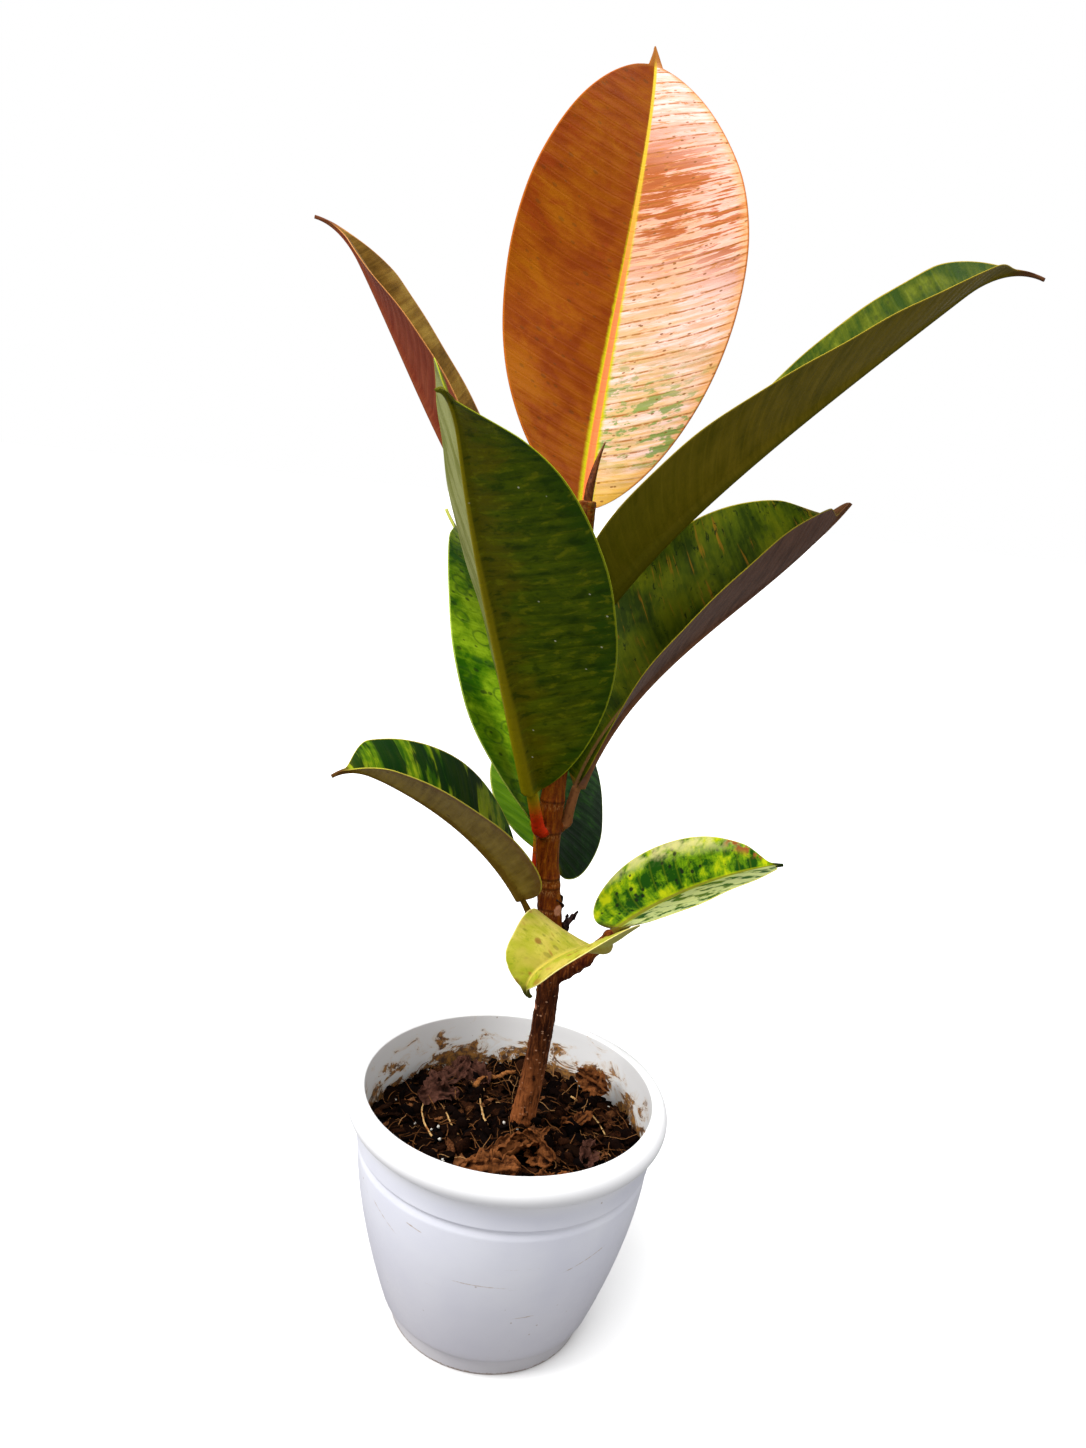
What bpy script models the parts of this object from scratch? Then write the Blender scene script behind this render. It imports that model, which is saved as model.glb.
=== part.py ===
"""A young rubber plant with ten variegated leaves, growing in a small round plastic pot.

Metres, +Z up. The origin is the middle of the pot's flat base, and the front is -Y.
"""

from collections import namedtuple
from math import atan2, cos, exp, hypot, pi, radians, sin

import bmesh
import bpy
from mathutils import Matrix, Vector
from mathutils.bvhtree import BVHTree

MM = 0.001
GAP = 0.3 * MM                   # clearance between neighbouring pieces

# Pot
POT_HEIGHT = 82.7 * MM
BASE_RADIUS = 32.5 * MM          # the flat base it stands on
FOOT_HEIGHT = 6.6 * MM
FOOT_FLARE = 0.6 * MM
CREASE_RADIUS = 35.8 * MM        # where the bowl springs from the foot
CREASE_HEIGHT = 8.0 * MM
GROOVE_RADIUS = 47.9 * MM        # thin groove round the top of the bowl
GROOVE_HEIGHT = 63.4 * MM
GROOVE_DEPTH = 0.5 * MM
RIM_RADIUS = 52.5 * MM
RIM_HALF_DEPTH = 3.6 * MM        # half the rolled lip's size outward
RIM_HALF_HEIGHT = 4.7 * MM
RIM_INSIDE = 120                 # where the roll meets the inside wall, in degrees
RIM_OUTSIDE = -70                # and where it turns back to the bowl
RIM_STEPS = 6
POT_WALL = 1.3 * MM
POT_FLOOR = 2.0 * MM
POT_STEPS = 40
BOWL_STEPS = 4
BOWL_FULLNESS = 1.6
DRAIN_COUNT = 6
DRAIN_RADIUS = 2.6 * MM
DRAIN_CIRCLE = 22.0 * MM

# Soil
SOIL_LEVEL = 64.0 * MM
SOIL_MOUND = 4.5 * MM            # extra height against the stem
MOUND_SPREAD = 13.0 * MM
SOIL_RELIEF = 0.9 * MM           # waviness of the surface
SOIL_RINGS = 6

# Stem
STEM_X = 5.0 * MM                # where it leaves the soil
STEM_Y = 2.0 * MM
STEM_TOP = 272.0 * MM
STEM_ROOT = 12.0 * MM            # depth buried in the soil
STEM_STEPS = 26
STEM_SIDES = 12
STEM_BOW = 4.5 * MM              # sideways bow of the lower stem
STEM_RADIUS = 3.6 * MM
STEM_FLARE = 1.1 * MM            # extra radius at the soil
STEM_TAPER = 1.0 * MM            # radius lost toward the tip
STEM_BEND_HEIGHT = 122.0 * MM
SPUR_HEIGHT = 121.0 * MM         # dark side spur that carries the two lowest leaves
SPUR_REACH = 17.0 * MM
SPUR_RISE = 18.0 * MM
SPUR_RADIUS = 1.9 * MM

# Leaf sections
LEAF_THICKNESS = 0.9 * MM
EDGE_THICKNESS = 0.6 * MM
TIP_RADIUS = 0.55 * MM
HALF_STEPS = 3                   # facets across each half of a blade
PETIOLE_STEPS = 4
BLADE_STEPS = 15
DRIP_SHARE = 0.06                # share of the blade that is its narrow drip tip

# Each leaf: height of its node on the stem; petiole and blade length; half width; then, at
# the stem, half way and at the tip, the rise above the horizon and the compass bearing of its
# midrib (0 is +X, 90 is the back); the same for its roll; the fold and the cup of its left
# and right halves; how the fold opens toward the tip; fullness of its base and of its tip;
# the width of its right half over its left; the extra bend of its drip tip. Lengths are in
# millimetres, angles in degrees.
Leaf = namedtuple("Leaf", "node height petiole blade width rise bearing roll fold cup open "
                          "base tip right drip stalk")
LEAVES = (
    Leaf("leaf_top", 266, 4, 162, 37.0, (54, 72, 57), (94, 77, 99), (4, 1, 5),
         (9, -3), (-3, -8), -0.05, 0.70, 0.60, 1.0, -6, 1.6),
    Leaf("leaf_long_right", 236, 10, 158, 28.0, (60, 44, 42), (-32, 9, 12), (1, -7, 22),
         (27, 27), (-2, -1), 0.05, 0.30, 0.50, 1.0, -56, 1.8),
    Leaf("leaf_mid_right", 172, 13, 126, 34.0, (87, 45, 51), (24, 15, 30), (8, 1, -5),
         (42, 33), (4, -1), 0.20, 0.85, 0.55, 1.0, -1, 1.7),
    Leaf("leaf_front", 171, 17, 143, 35.0, (65, 52, 51), (-121, -109, -99), (-4, -18, -30),
         (14, 39), (-2, -4), -0.15, 0.70, 0.50, 1.0, -56, 1.9),
    Leaf("leaf_upper_left", 240, 16, 125, 24.5, (37, 56, 50), (167, 163, 160), (-5, 9, -11),
         (33, 27), (-12, -10), -0.35, 0.55, 0.70, 1.0, -38, 1.6),
    Leaf("leaf_mid_left", 153, 17, 110, 25.0, (87, 66, 28), (141, 143, 143), (15, -27, 16),
         (17, -22), (-1, -8), 0.0, 0.55, 0.65, 0.7, 25, 1.5),
    Leaf("leaf_back", 156, 6, 88, 26.0, (24, 20, 29), (86, 89, 87), (18, 6, 0),
         (8, -31), (-4, -26), -0.20, 0.45, 0.55, 1.0, 3, 1.4),
    Leaf("leaf_low_left", 139, 11, 78, 25.0, (65, 37, 20), (197, 200, 212), (6, -7, 1),
         (30, 31), (-5, -5), 0.0, 0.50, 0.55, 1.0, -47, 1.3),
)
SPUR_LEAVES = (
    Leaf("leaf_low_right", 0, 3, 70, 25.0, (11, 17, 2), (58, 27, 26), (-20, 1, 12),
         (16, 21), (-6, 1), 0.55, 0.50, 0.65, 1.0, 2, 1.3),
    Leaf("leaf_pale_drooping", -1, 3, 60, 17.0, (4, 16, -59), (266, 240, 212), (23, 5, -28),
         (34, 26), (0, -3), 0.55, 0.75, 0.55, 1.0, -84, 1.3),
)

# Bud at the top of the stem, and dry scraps beside the stem
BUD_LENGTH = 17.0 * MM
BUD_RADIUS = 1.1 * MM
BUD_LEAN = radians(10)
STIPULE_HEIGHTS = (138.0 * MM, 146.0 * MM)
STIPULE_LENGTH = 9.0 * MM
STIPULE_WIDTH = 3.4 * MM

# Dead leaves on the soil: centre, length, width, bearing in degrees, curl in degrees
Litter = namedtuple("Litter", "node x y length width bearing curl")
DEAD_LEAVES = (
    Litter("dead_leaf_curled", 1.0, -17.5, 38, 11, 46, 150),
    Litter("dead_leaf_chip_right", 24.0, 7.0, 14, 7, 42, 60),
    Litter("dead_leaf_chip_front", 16.0, -24.0, 12, 7, 20, 70),
    Litter("dead_leaf_flat", -22.0, 26.0, 26, 11, 62, 50),
)

# Pale roots and straws on the soil: middle, length, radius, bearing in degrees, sag
Straw = namedtuple("Straw", "node x y length radius bearing bow")
STRAWS = (
    Straw("straw_left", -25.5, 3.0, 22, 0.55, 105, 2.0),
    Straw("straw_mid_left", -18.0, 4.0, 20, 0.5, 108, 1.5),
    Straw("straw_near_stem", -7.5, 9.0, 21, 0.6, 100, 1.0),
    Straw("straw_right", 28.0, 14.5, 22, 0.6, -58, 1.5),
    Straw("root_thick", -5.0, 29.0, 18, 1.3, 40, 2.0),
    Straw("root_wiry", 28.0, 31.0, 12, 0.8, -28, 2.5),
)

MATERIALS = {
    "white_plastic": ((0.86, 0.85, 0.82), 0.32),
    "potting_soil": ((0.13, 0.075, 0.045), 0.95),
    "bark": ((0.16, 0.07, 0.04), 0.75),
    "new_leaf": ((0.80, 0.50, 0.33), 0.35),
    "old_leaf": ((0.16, 0.27, 0.06), 0.35),
    "pale_leaf": ((0.68, 0.68, 0.27), 0.45),
    "bud": ((0.30, 0.07, 0.05), 0.45),
    "dry_leaf": ((0.38, 0.20, 0.10), 0.80),
    "straw": ((0.72, 0.58, 0.38), 0.75),
}


def clear_scene():
    for obj in list(bpy.data.objects):
        bpy.data.objects.remove(obj, do_unlink=True)


def new_collection(name):
    collection = bpy.data.collections.new(name)
    bpy.context.scene.collection.children.link(collection)
    return collection


def material(name):
    found = bpy.data.materials.get(name)
    if found:
        return found
    colour, roughness = MATERIALS[name]
    found = bpy.data.materials.new(name)
    found.use_nodes = True
    shader = found.node_tree.nodes["Principled BSDF"]
    shader.inputs["Base Color"].default_value = (*colour, 1.0)
    shader.inputs["Roughness"].default_value = roughness
    shader.inputs["Metallic"].default_value = 0.0
    found.diffuse_color = (*colour, 1.0)
    return found


def add_object(name, data, collection, material_name):
    obj = bpy.data.objects.new(name, data)
    collection.objects.link(obj)
    data.materials.append(material(material_name))
    return obj


def set_cutter(obj):
    obj.hide_render = True
    obj.display_type = "WIRE"


def cut(obj, cutter):
    boolean = obj.modifiers.new("Cut", "BOOLEAN")
    boolean.object = cutter
    boolean.operation = "DIFFERENCE"
    boolean.solver = "EXACT"


def evaluated_mesh(obj):
    graph = bpy.context.evaluated_depsgraph_get()
    return bpy.data.meshes.new_from_object(obj.evaluated_get(graph), depsgraph=graph)


def spun(name, profile, collection, material_name):
    """Turn a profile of (radius, height) points about Z."""
    mesh = bpy.data.meshes.new(name)
    points = [(radius, 0.0, height) for radius, height in profile]
    mesh.from_pydata(points, [(i, i + 1) for i in range(len(points) - 1)], [])
    obj = add_object(name, mesh, collection, material_name)
    screw = obj.modifiers.new("Screw", "SCREW")
    screw.steps = POT_STEPS
    screw.render_steps = POT_STEPS
    screw.use_merge_vertices = True
    screw.merge_threshold = 0.00001
    return obj


def lofted(name, rings, collection, material_name):
    """A closed body through rings that all have the same number of points."""
    builder = bmesh.new()
    loops = [[builder.verts.new(point) for point in ring] for ring in rings]
    count = len(loops[0])
    for near, far in zip(loops, loops[1:]):
        for i in range(count):
            j = (i + 1) % count
            builder.faces.new((near[i], near[j], far[j], far[i]))
    builder.faces.new(list(reversed(loops[0])))
    builder.faces.new(loops[-1])
    bmesh.ops.recalc_face_normals(builder, faces=builder.faces)
    mesh = bpy.data.meshes.new(name)
    builder.to_mesh(mesh)
    builder.free()
    mesh.shade_smooth()
    mesh.set_sharp_from_angle(angle=radians(50))
    return add_object(name, mesh, collection, material_name)


def tube_mesh(name, points, radii, sides):
    """A round tube with filled caps along a list of points, as one welded mesh."""
    curve = bpy.data.curves.new(name, "CURVE")
    curve.dimensions = "3D"
    curve.bevel_depth = 1.0
    curve.bevel_resolution = sides // 2 - 2
    curve.use_fill_caps = True
    spline = curve.splines.new("POLY")
    spline.points.add(len(points) - 1)
    for place, point, radius in zip(spline.points, points, radii):
        place.co = (*point, 1.0)
        place.radius = radius
    guide = bpy.data.objects.new(name, curve)
    bpy.context.scene.collection.objects.link(guide)
    mesh = evaluated_mesh(guide)
    builder = bmesh.new()
    builder.from_mesh(mesh)
    bmesh.ops.remove_doubles(builder, verts=builder.verts, dist=0.00001)
    bmesh.ops.recalc_face_normals(builder, faces=builder.faces)
    builder.to_mesh(mesh)
    builder.free()
    bpy.data.objects.remove(guide, do_unlink=True)
    return mesh


# Pot and soil -----------------------------------------------------------------------------


def bowl_radius(height):
    """Outer radius of the bowl between the crease and the groove."""
    share = (height - CREASE_HEIGHT) / (GROOVE_HEIGHT - CREASE_HEIGHT)
    share = min(max(share, 0.0), 1.0)
    return CREASE_RADIUS + (GROOVE_RADIUS - CREASE_RADIUS) * (1 - (1 - share) ** BOWL_FULLNESS)


def bowl_heights():
    step = (GROOVE_HEIGHT - CREASE_HEIGHT) / BOWL_STEPS
    return [CREASE_HEIGHT + step * i for i in range(BOWL_STEPS + 1)]


def inner_profile(wall):
    """The inside from the floor's edge up to the groove, a wall's thickness in."""
    lift = 0.8 * wall
    points = [(BASE_RADIUS - wall, POT_FLOOR + wall - POT_WALL),
              (BASE_RADIUS + FOOT_FLARE - wall, FOOT_HEIGHT + lift),
              (CREASE_RADIUS - wall, CREASE_HEIGHT + lift)]
    return points + [(bowl_radius(height) - wall, height) for height in bowl_heights()[1:]]


def pot_profile():
    """Up the inside from the floor's middle, round the rolled rim and down the outside."""
    lip_centre = RIM_RADIUS - RIM_HALF_DEPTH
    lip_height = POT_HEIGHT - RIM_HALF_HEIGHT
    rim = []
    for i in range(RIM_STEPS + 1):
        turn = radians(RIM_INSIDE + (RIM_OUTSIDE - RIM_INSIDE) * i / RIM_STEPS)
        rim.append((lip_centre + RIM_HALF_DEPTH * cos(turn),
                    lip_height + RIM_HALF_HEIGHT * sin(turn)))
    inside = [(0.0, POT_FLOOR)] + inner_profile(POT_WALL) + [(rim[0][0], lip_height)]
    below_groove = GROOVE_HEIGHT - 3 * MM
    outside = [(GROOVE_RADIUS + GROOVE_DEPTH, lip_height - RIM_HALF_HEIGHT),
               (GROOVE_RADIUS + GROOVE_DEPTH, GROOVE_HEIGHT + 2 * GROOVE_DEPTH),
               (GROOVE_RADIUS - GROOVE_DEPTH, GROOVE_HEIGHT),
               (bowl_radius(below_groove), below_groove)]
    outside += [(bowl_radius(height), height) for height in reversed(bowl_heights()[:-1])]
    foot = [(BASE_RADIUS + FOOT_FLARE, FOOT_HEIGHT), (BASE_RADIUS, 0.0), (0.0, 0.0)]
    return inside + rim + outside + foot


def make_pot(parts, cutters):
    pot = spun("pot", pot_profile(), parts, "white_plastic")
    drains = bmesh.new()
    for i in range(DRAIN_COUNT):
        angle = 2 * pi * i / DRAIN_COUNT
        place = Matrix.Translation((DRAIN_CIRCLE * cos(angle), DRAIN_CIRCLE * sin(angle),
                                    POT_FLOOR / 2))
        bmesh.ops.create_cone(drains, cap_ends=True, segments=12, radius1=DRAIN_RADIUS,
                              radius2=DRAIN_RADIUS, depth=3 * POT_FLOOR, matrix=place)
    mesh = bpy.data.meshes.new("drain_cutter")
    drains.to_mesh(mesh)
    drains.free()
    cutter = add_object("drain_cutter", mesh, cutters, "white_plastic")
    set_cutter(cutter)
    cut(pot, cutter)
    return pot


def soil_height(x, y):
    """Height of the soil surface: a mound at the stem and low waves."""
    away = hypot(x - STEM_X, y - STEM_Y) / MOUND_SPREAD
    waves = sin(x / (7 * MM) + 1.0) * cos(y / (6 * MM)) + 0.5 * sin((x + y) / (3.7 * MM))
    return SOIL_LEVEL + SOIL_MOUND * exp(-away * away / 2) + SOIL_RELIEF * waves


def make_soil(parts, cutters):
    wall = POT_WALL + GAP
    side = [point for point in inner_profile(wall) if point[1] < SOIL_LEVEL - 2 * MM]
    rim = bowl_radius(SOIL_LEVEL) - wall
    profile = [(rim * i / SOIL_RINGS, SOIL_LEVEL) for i in range(SOIL_RINGS + 1)]
    profile += side[::-1] + [(0.0, side[0][1])]
    guide = spun("soil_guide", profile, cutters, "potting_soil")
    mesh = evaluated_mesh(guide)
    bpy.data.objects.remove(guide, do_unlink=True)
    for vertex in mesh.vertices:
        x, y, z = vertex.co
        if z > SOIL_LEVEL - 0.1 * MM:
            edge = min(1.0, (rim - hypot(x, y)) / (rim / SOIL_RINGS))
            vertex.co.z = SOIL_LEVEL + (soil_height(x, y) - SOIL_LEVEL) * max(edge, 0.25)
    soil = add_object("soil", mesh, parts, "potting_soil")
    heights = [height for height in stem_heights() if height < SOIL_LEVEL + 4 * SOIL_MOUND]
    points = [stem_centre(height) for height in [heights[0] - GAP] + heights[1:]]
    radii = [stem_radius(height) + GAP for height in heights]
    hole = tube_mesh("stem_hole_cutter", points, radii, STEM_SIDES)
    cutter = add_object("stem_hole_cutter", hole, cutters, "potting_soil")
    set_cutter(cutter)
    cut(soil, cutter)
    return soil


# Stem -------------------------------------------------------------------------------------


def stem_heights():
    bottom = SOIL_LEVEL - STEM_ROOT
    return [bottom + (STEM_TOP - bottom) * i / STEM_STEPS for i in range(STEM_STEPS + 1)]


def stem_centre(height):
    """Middle of the stem: it leans a little to the right, then back, as it climbs."""
    start = SOIL_LEVEL
    rise = max(height - start, 0.0)
    lower = min(rise / (STEM_BEND_HEIGHT - start), 1.0)
    upper = min(max((height - STEM_BEND_HEIGHT) / (50 * MM), 0.0), 1.0)
    bow = STEM_BOW * (sin(lower * pi / 2) - 1.25 * (1 - cos(upper * pi)) / 2)
    back = STEM_Y * (1 - min(rise / (STEM_BEND_HEIGHT - start), 1.0))
    return Vector((STEM_X + bow - 0.8 * MM * lower, back, height))


def stem_radius(height):
    rise = max(height - SOIL_LEVEL, 0.0)
    flare = STEM_FLARE * exp(-rise / (9 * MM))
    share = min(max((height - 200 * MM) / (STEM_TOP - 200 * MM), 0.0), 1.0)
    return STEM_RADIUS + flare - STEM_TAPER * share


def spur_end():
    start = stem_centre(SPUR_HEIGHT)
    return start + Vector((SPUR_REACH, -1.0 * MM, SPUR_RISE))


def make_stem(parts):
    heights = stem_heights()
    mesh = tube_mesh("stem", [stem_centre(height) for height in heights],
                     [stem_radius(height) for height in heights], STEM_SIDES)
    stem = add_object("stem", mesh, parts, "bark")
    start = stem_centre(SPUR_HEIGHT)
    middle = start.lerp(spur_end(), 0.55) + Vector((1.5 * MM, 0.0, -1.5 * MM))
    points = [start, start.lerp(middle, 0.6), middle, spur_end()]
    radii = [SPUR_RADIUS * 1.35, SPUR_RADIUS * 1.2, SPUR_RADIUS, SPUR_RADIUS * 0.85]
    spur = add_object("spur", tube_mesh("spur", points, radii, 10), parts, "bark")
    union = stem.modifiers.new("Spur", "BOOLEAN")
    union.object = spur
    union.operation = "UNION"
    union.solver = "EXACT"
    joined = evaluated_mesh(stem)
    stem.modifiers.clear()
    stem.data = joined
    bpy.data.objects.remove(spur, do_unlink=True)
    return stem


# Leaves -----------------------------------------------------------------------------------


def three_point(values, share):
    """A smooth change through a start, a middle and an end value."""
    start, middle, end = values
    near = start * (1 - share) * (1 - 2 * share)
    far = end * share * (2 * share - 1)
    return near + 4 * middle * share * (1 - share) + far


def half_width(leaf, share):
    """Half width of the blade at a share of its length."""
    reach = min(share / (1 - DRIP_SHARE), 1.0)
    peak = leaf.base / (leaf.base + leaf.tip)
    full = reach ** leaf.base * (1 - reach) ** leaf.tip
    full /= peak ** leaf.base * (1 - peak) ** leaf.tip
    return max(leaf.width * MM * full, 2 * TIP_RADIUS * (1.4 - share))


def leaf_frames(leaf, start):
    """Points along the petiole and midrib, each with its sideways and upward directions."""
    total = (leaf.petiole + leaf.blade) * MM
    split = leaf.petiole / (leaf.petiole + leaf.blade)
    shares = [split * i / PETIOLE_STEPS for i in range(PETIOLE_STEPS)]
    for i in range(BLADE_STEPS + 1):
        ease = 0.5 - 0.5 * cos(pi * i / BLADE_STEPS)
        even = i / BLADE_STEPS
        shares.append(split + (1 - split) * (0.45 * ease + 0.55 * even))
    frames = []
    point = start.copy()
    before = 0.0
    for share in shares:
        steps = 4
        for i in range(steps):
            middle = before + (share - before) * (i + 0.5) / steps
            point = point + leaf_direction(leaf, middle, split) * (total * (share - before) / steps)
        before = share
        along = leaf_direction(leaf, share, split)
        bearing = radians(three_point(leaf.bearing, share))
        side = Vector((-sin(bearing), cos(bearing), 0.0))
        up = along.cross(side)
        blade = max((share - split) / (1 - split), 0.0)
        roll = radians(three_point(leaf.roll, blade))
        turned = side * cos(roll) + up * sin(roll)
        frames.append((blade, share >= split, point.copy(), turned, along.cross(turned)))
    return frames


def leaf_direction(leaf, share, split):
    blade = max((share - split) / (1 - split), 0.0)
    droop = max((blade - 0.82) / 0.18, 0.0) ** 1.5
    rise = radians(three_point(leaf.rise, share) + leaf.drip * droop)
    bearing = radians(three_point(leaf.bearing, share))
    return Vector((cos(rise) * cos(bearing), cos(rise) * sin(bearing), sin(rise)))


def blade_rows(leaf, share, point, side, up):
    """Points and normals across the blade, from its left edge to its right edge."""
    rows = []
    for sign, which in ((1, 0), (-1, 1)):
        width = half_width(leaf, share) * (1.0 if sign > 0 else leaf.right)
        fold = radians(leaf.fold[which] * (1 + leaf.open * (2 * share - 1)))
        cup = radians(leaf.cup[which])
        across, lift, row = 0.0, 0.0, []
        for i in range(HALF_STEPS + 1):
            if i:
                angle = fold + cup * (i - 0.5) / HALF_STEPS
                across += cos(angle) * width / HALF_STEPS
                lift += sin(angle) * width / HALF_STEPS
            angle = fold + cup * i / HALF_STEPS
            normal = side * (-sign * sin(angle)) + up * cos(angle)
            row.append((point + side * (sign * across) + up * lift, normal if i else up))
        rows.append(row)
    return list(reversed(rows[0])) + rows[1][1:]


def leaf_ring(leaf, share, point, side, up):
    """A closed section: over the top from left to right, and back underneath."""
    rib = max(leaf.stalk * MM * (1 - share) ** 0.7, TIP_RADIUS)
    top, bottom = [], []
    for i, (place, normal) in enumerate(blade_rows(leaf, share, point, side, up)):
        outward = abs(i - HALF_STEPS) / HALF_STEPS
        skin = LEAF_THICKNESS + (EDGE_THICKNESS - LEAF_THICKNESS) * outward
        depth = max(skin, 2 * rib) if i == HALF_STEPS else skin
        top.append(place + normal * skin / 2)
        bottom.append(place - normal * (depth - skin / 2))
    return top + bottom[::-1]


def petiole_ring(leaf, point, side, up):
    """A round section with the same number of points as a blade section."""
    count = 2 * (2 * HALF_STEPS + 1)
    radius = leaf.stalk * MM
    ring = []
    for i in range(count):
        angle = 2 * pi * (i + 0.5) / count
        ring.append(point + side * (radius * cos(angle)) + up * (radius * sin(angle)))
    return ring


def make_leaf(leaf, start, collection, material_name):
    rings = []
    for share, blade, point, side, up in leaf_frames(leaf, start):
        if blade and share > 0.0:
            rings.append(leaf_ring(leaf, share, point, side, up))
        else:
            rings.append(petiole_ring(leaf, point, side, up))
    return lofted(leaf.node, rings, collection, material_name)


def leaf_start(leaf):
    """Where a petiole meets the bark at its node."""
    height = leaf.height * MM
    bearing = radians(leaf.bearing[0])
    clear = GAP + leaf.stalk * MM * max(sin(radians(leaf.rise[0])), 0.0)
    outward = Vector((cos(bearing), sin(bearing), 0.0))
    return stem_centre(height) + outward * (stem_radius(height) + clear)


def spur_leaf_start(leaf):
    """Where a petiole meets the end of the spur, a little to the leaf's own side."""
    bearing = radians(leaf.bearing[0])
    outward = Vector((cos(bearing), sin(bearing), 0.0))
    clear = SPUR_RADIUS * 0.85 + GAP
    return spur_end() + outward * clear + Vector((0.0, 0.0, leaf.height * MM))


def make_leaves(parts):
    for leaf in LEAVES:
        tone = "new_leaf" if leaf.node == "leaf_top" else "old_leaf"
        make_leaf(leaf, leaf_start(leaf), parts, tone)
    for leaf in SPUR_LEAVES:
        tone = "pale_leaf" if leaf.node == "leaf_pale_drooping" else "old_leaf"
        make_leaf(leaf, spur_leaf_start(leaf), parts, tone)


def make_bud(parts):
    """The slim rolled sheath that stands on the tip of the stem."""
    foot = stem_centre(STEM_TOP) + Vector((0.0, -0.4 * MM, GAP))
    points, radii = [], []
    for i in range(7):
        share = i / 6
        lean = BUD_LENGTH * share * sin(BUD_LEAN) * share
        points.append(foot + Vector((lean, 0.0, BUD_LENGTH * share)))
        radii.append(BUD_RADIUS * (1 - 0.75 * share ** 1.5))
    add_object("terminal_bud", tube_mesh("terminal_bud", points, radii, 8), parts, "bud")


# Litter on the soil -------------------------------------------------------------------------


def rest_on(piece, ground, gap):
    """Lower or raise a piece until its smallest upright clearance to the ground is the gap."""
    bpy.context.view_layer.update()
    graph = bpy.context.evaluated_depsgraph_get()
    ground_tree = BVHTree.FromObject(ground, graph)
    piece_tree = BVHTree.FromObject(piece, graph)
    place = piece.matrix_world
    inverse = place.inverted()
    down = Vector((0.0, 0.0, -1.0))
    clearances = []
    for vertex in piece.evaluated_get(graph).data.vertices:
        point = place @ vertex.co
        hit = ground_tree.ray_cast(point + Vector((0, 0, 1.0)), down)[0]
        if hit:
            clearances.append(point.z - hit.z)
    for vertex in ground.evaluated_get(graph).data.vertices:
        if vertex.co.z < SOIL_LEVEL - 2 * MM:
            continue
        below = inverse @ (vertex.co + Vector((0, 0, -1.0)))
        hit = piece_tree.ray_cast(below, inverse.to_3x3() @ -down)[0]
        if hit:
            clearances.append((place @ hit).z - vertex.co.z)
    piece.location.z += gap - min(clearances)
    bpy.context.view_layer.update()


def make_dead_leaf(litter, parts, soil):
    """A dry leaf scrap: a pointed strip, rolled about its length, with wavy edges."""
    rows, columns = 8, 4
    mesh = bpy.data.meshes.new(litter.node)
    builder = bmesh.new()
    bmesh.ops.create_grid(builder, x_segments=rows, y_segments=columns, size=0.5)
    curl = radians(litter.curl)
    for vertex in builder.verts:
        along, across = vertex.co.x, vertex.co.y
        width = litter.width * MM * max(1 - (2 * along) ** 2, 0.12) ** 0.6
        radius = litter.width * MM / curl
        angle = across * curl * (width / (litter.width * MM))
        wave = 0.8 * MM * sin(along * 9 + litter.x) + 0.5 * MM * sin(across * 8 + along * 5)
        lift = radius * (1 - cos(angle)) + litter.length * MM * 0.12 * (2 * along) ** 2 / 2
        vertex.co = Vector((along * litter.length * MM, radius * sin(angle), lift + wave))
    builder.to_mesh(mesh)
    builder.free()
    piece = add_object(litter.node, mesh, parts, "dry_leaf")
    skin = piece.modifiers.new("Thickness", "SOLIDIFY")
    skin.thickness = 0.7 * MM
    skin.offset = 1.0
    piece.rotation_euler.z = radians(litter.bearing)
    piece.location = (litter.x * MM, litter.y * MM, SOIL_LEVEL + 10 * MM)
    rest_on(piece, soil, GAP)
    return piece


def make_straw(straw, parts, soil):
    steps = 8
    points = []
    for i in range(steps + 1):
        along = straw.length * MM * (i / steps - 0.5)
        bow = straw.bow * MM * (1 - (2 * i / steps - 1) ** 2)
        points.append(Vector((along, bow, 0.25 * bow)))
    radii = [straw.radius * MM * (1 - 0.35 * i / steps) for i in range(steps + 1)]
    mesh = tube_mesh(straw.node, points, radii, 8)
    piece = add_object(straw.node, mesh, parts, "straw")
    bearing = radians(straw.bearing)
    reach = straw.length * MM * 0.4
    ahead = soil_height(straw.x * MM + reach * cos(bearing), straw.y * MM + reach * sin(bearing))
    behind = soil_height(straw.x * MM - reach * cos(bearing), straw.y * MM - reach * sin(bearing))
    piece.rotation_euler = (0.0, -atan2(ahead - behind, 2 * reach), bearing)
    piece.location = (straw.x * MM, straw.y * MM, SOIL_LEVEL + 10 * MM)
    rest_on(piece, soil, GAP)
    return piece


def make_stipules(parts):
    """Dry papery scraps that cling to the right of the stem above the spur."""
    for i, height in enumerate(STIPULE_HEIGHTS):
        lean = radians(28 - 46 * i)
        foot = stem_centre(height) + Vector((stem_radius(height) + GAP + 0.5 * MM, 0.0, 0.0))
        rings = []
        for j in range(6):
            share = j / 5
            width = STIPULE_WIDTH / 2 * (1 - share ** 2) + 0.3 * MM
            middle = foot + Vector((sin(lean) * share, 0.0, cos(lean) * share)) * STIPULE_LENGTH
            middle.x += 1.2 * MM * share
            skin = 0.5 * MM
            rings.append([middle + Vector((-skin, -width, 0)), middle + Vector((skin, -width, 0)),
                          middle + Vector((2 * skin, 0, 0)), middle + Vector((skin, width, 0)),
                          middle + Vector((-skin, width, 0)), middle + Vector((0, 0, 0))])
        lofted("dry_stipule_%d" % (i + 1), rings, parts, "dry_leaf")


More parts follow.
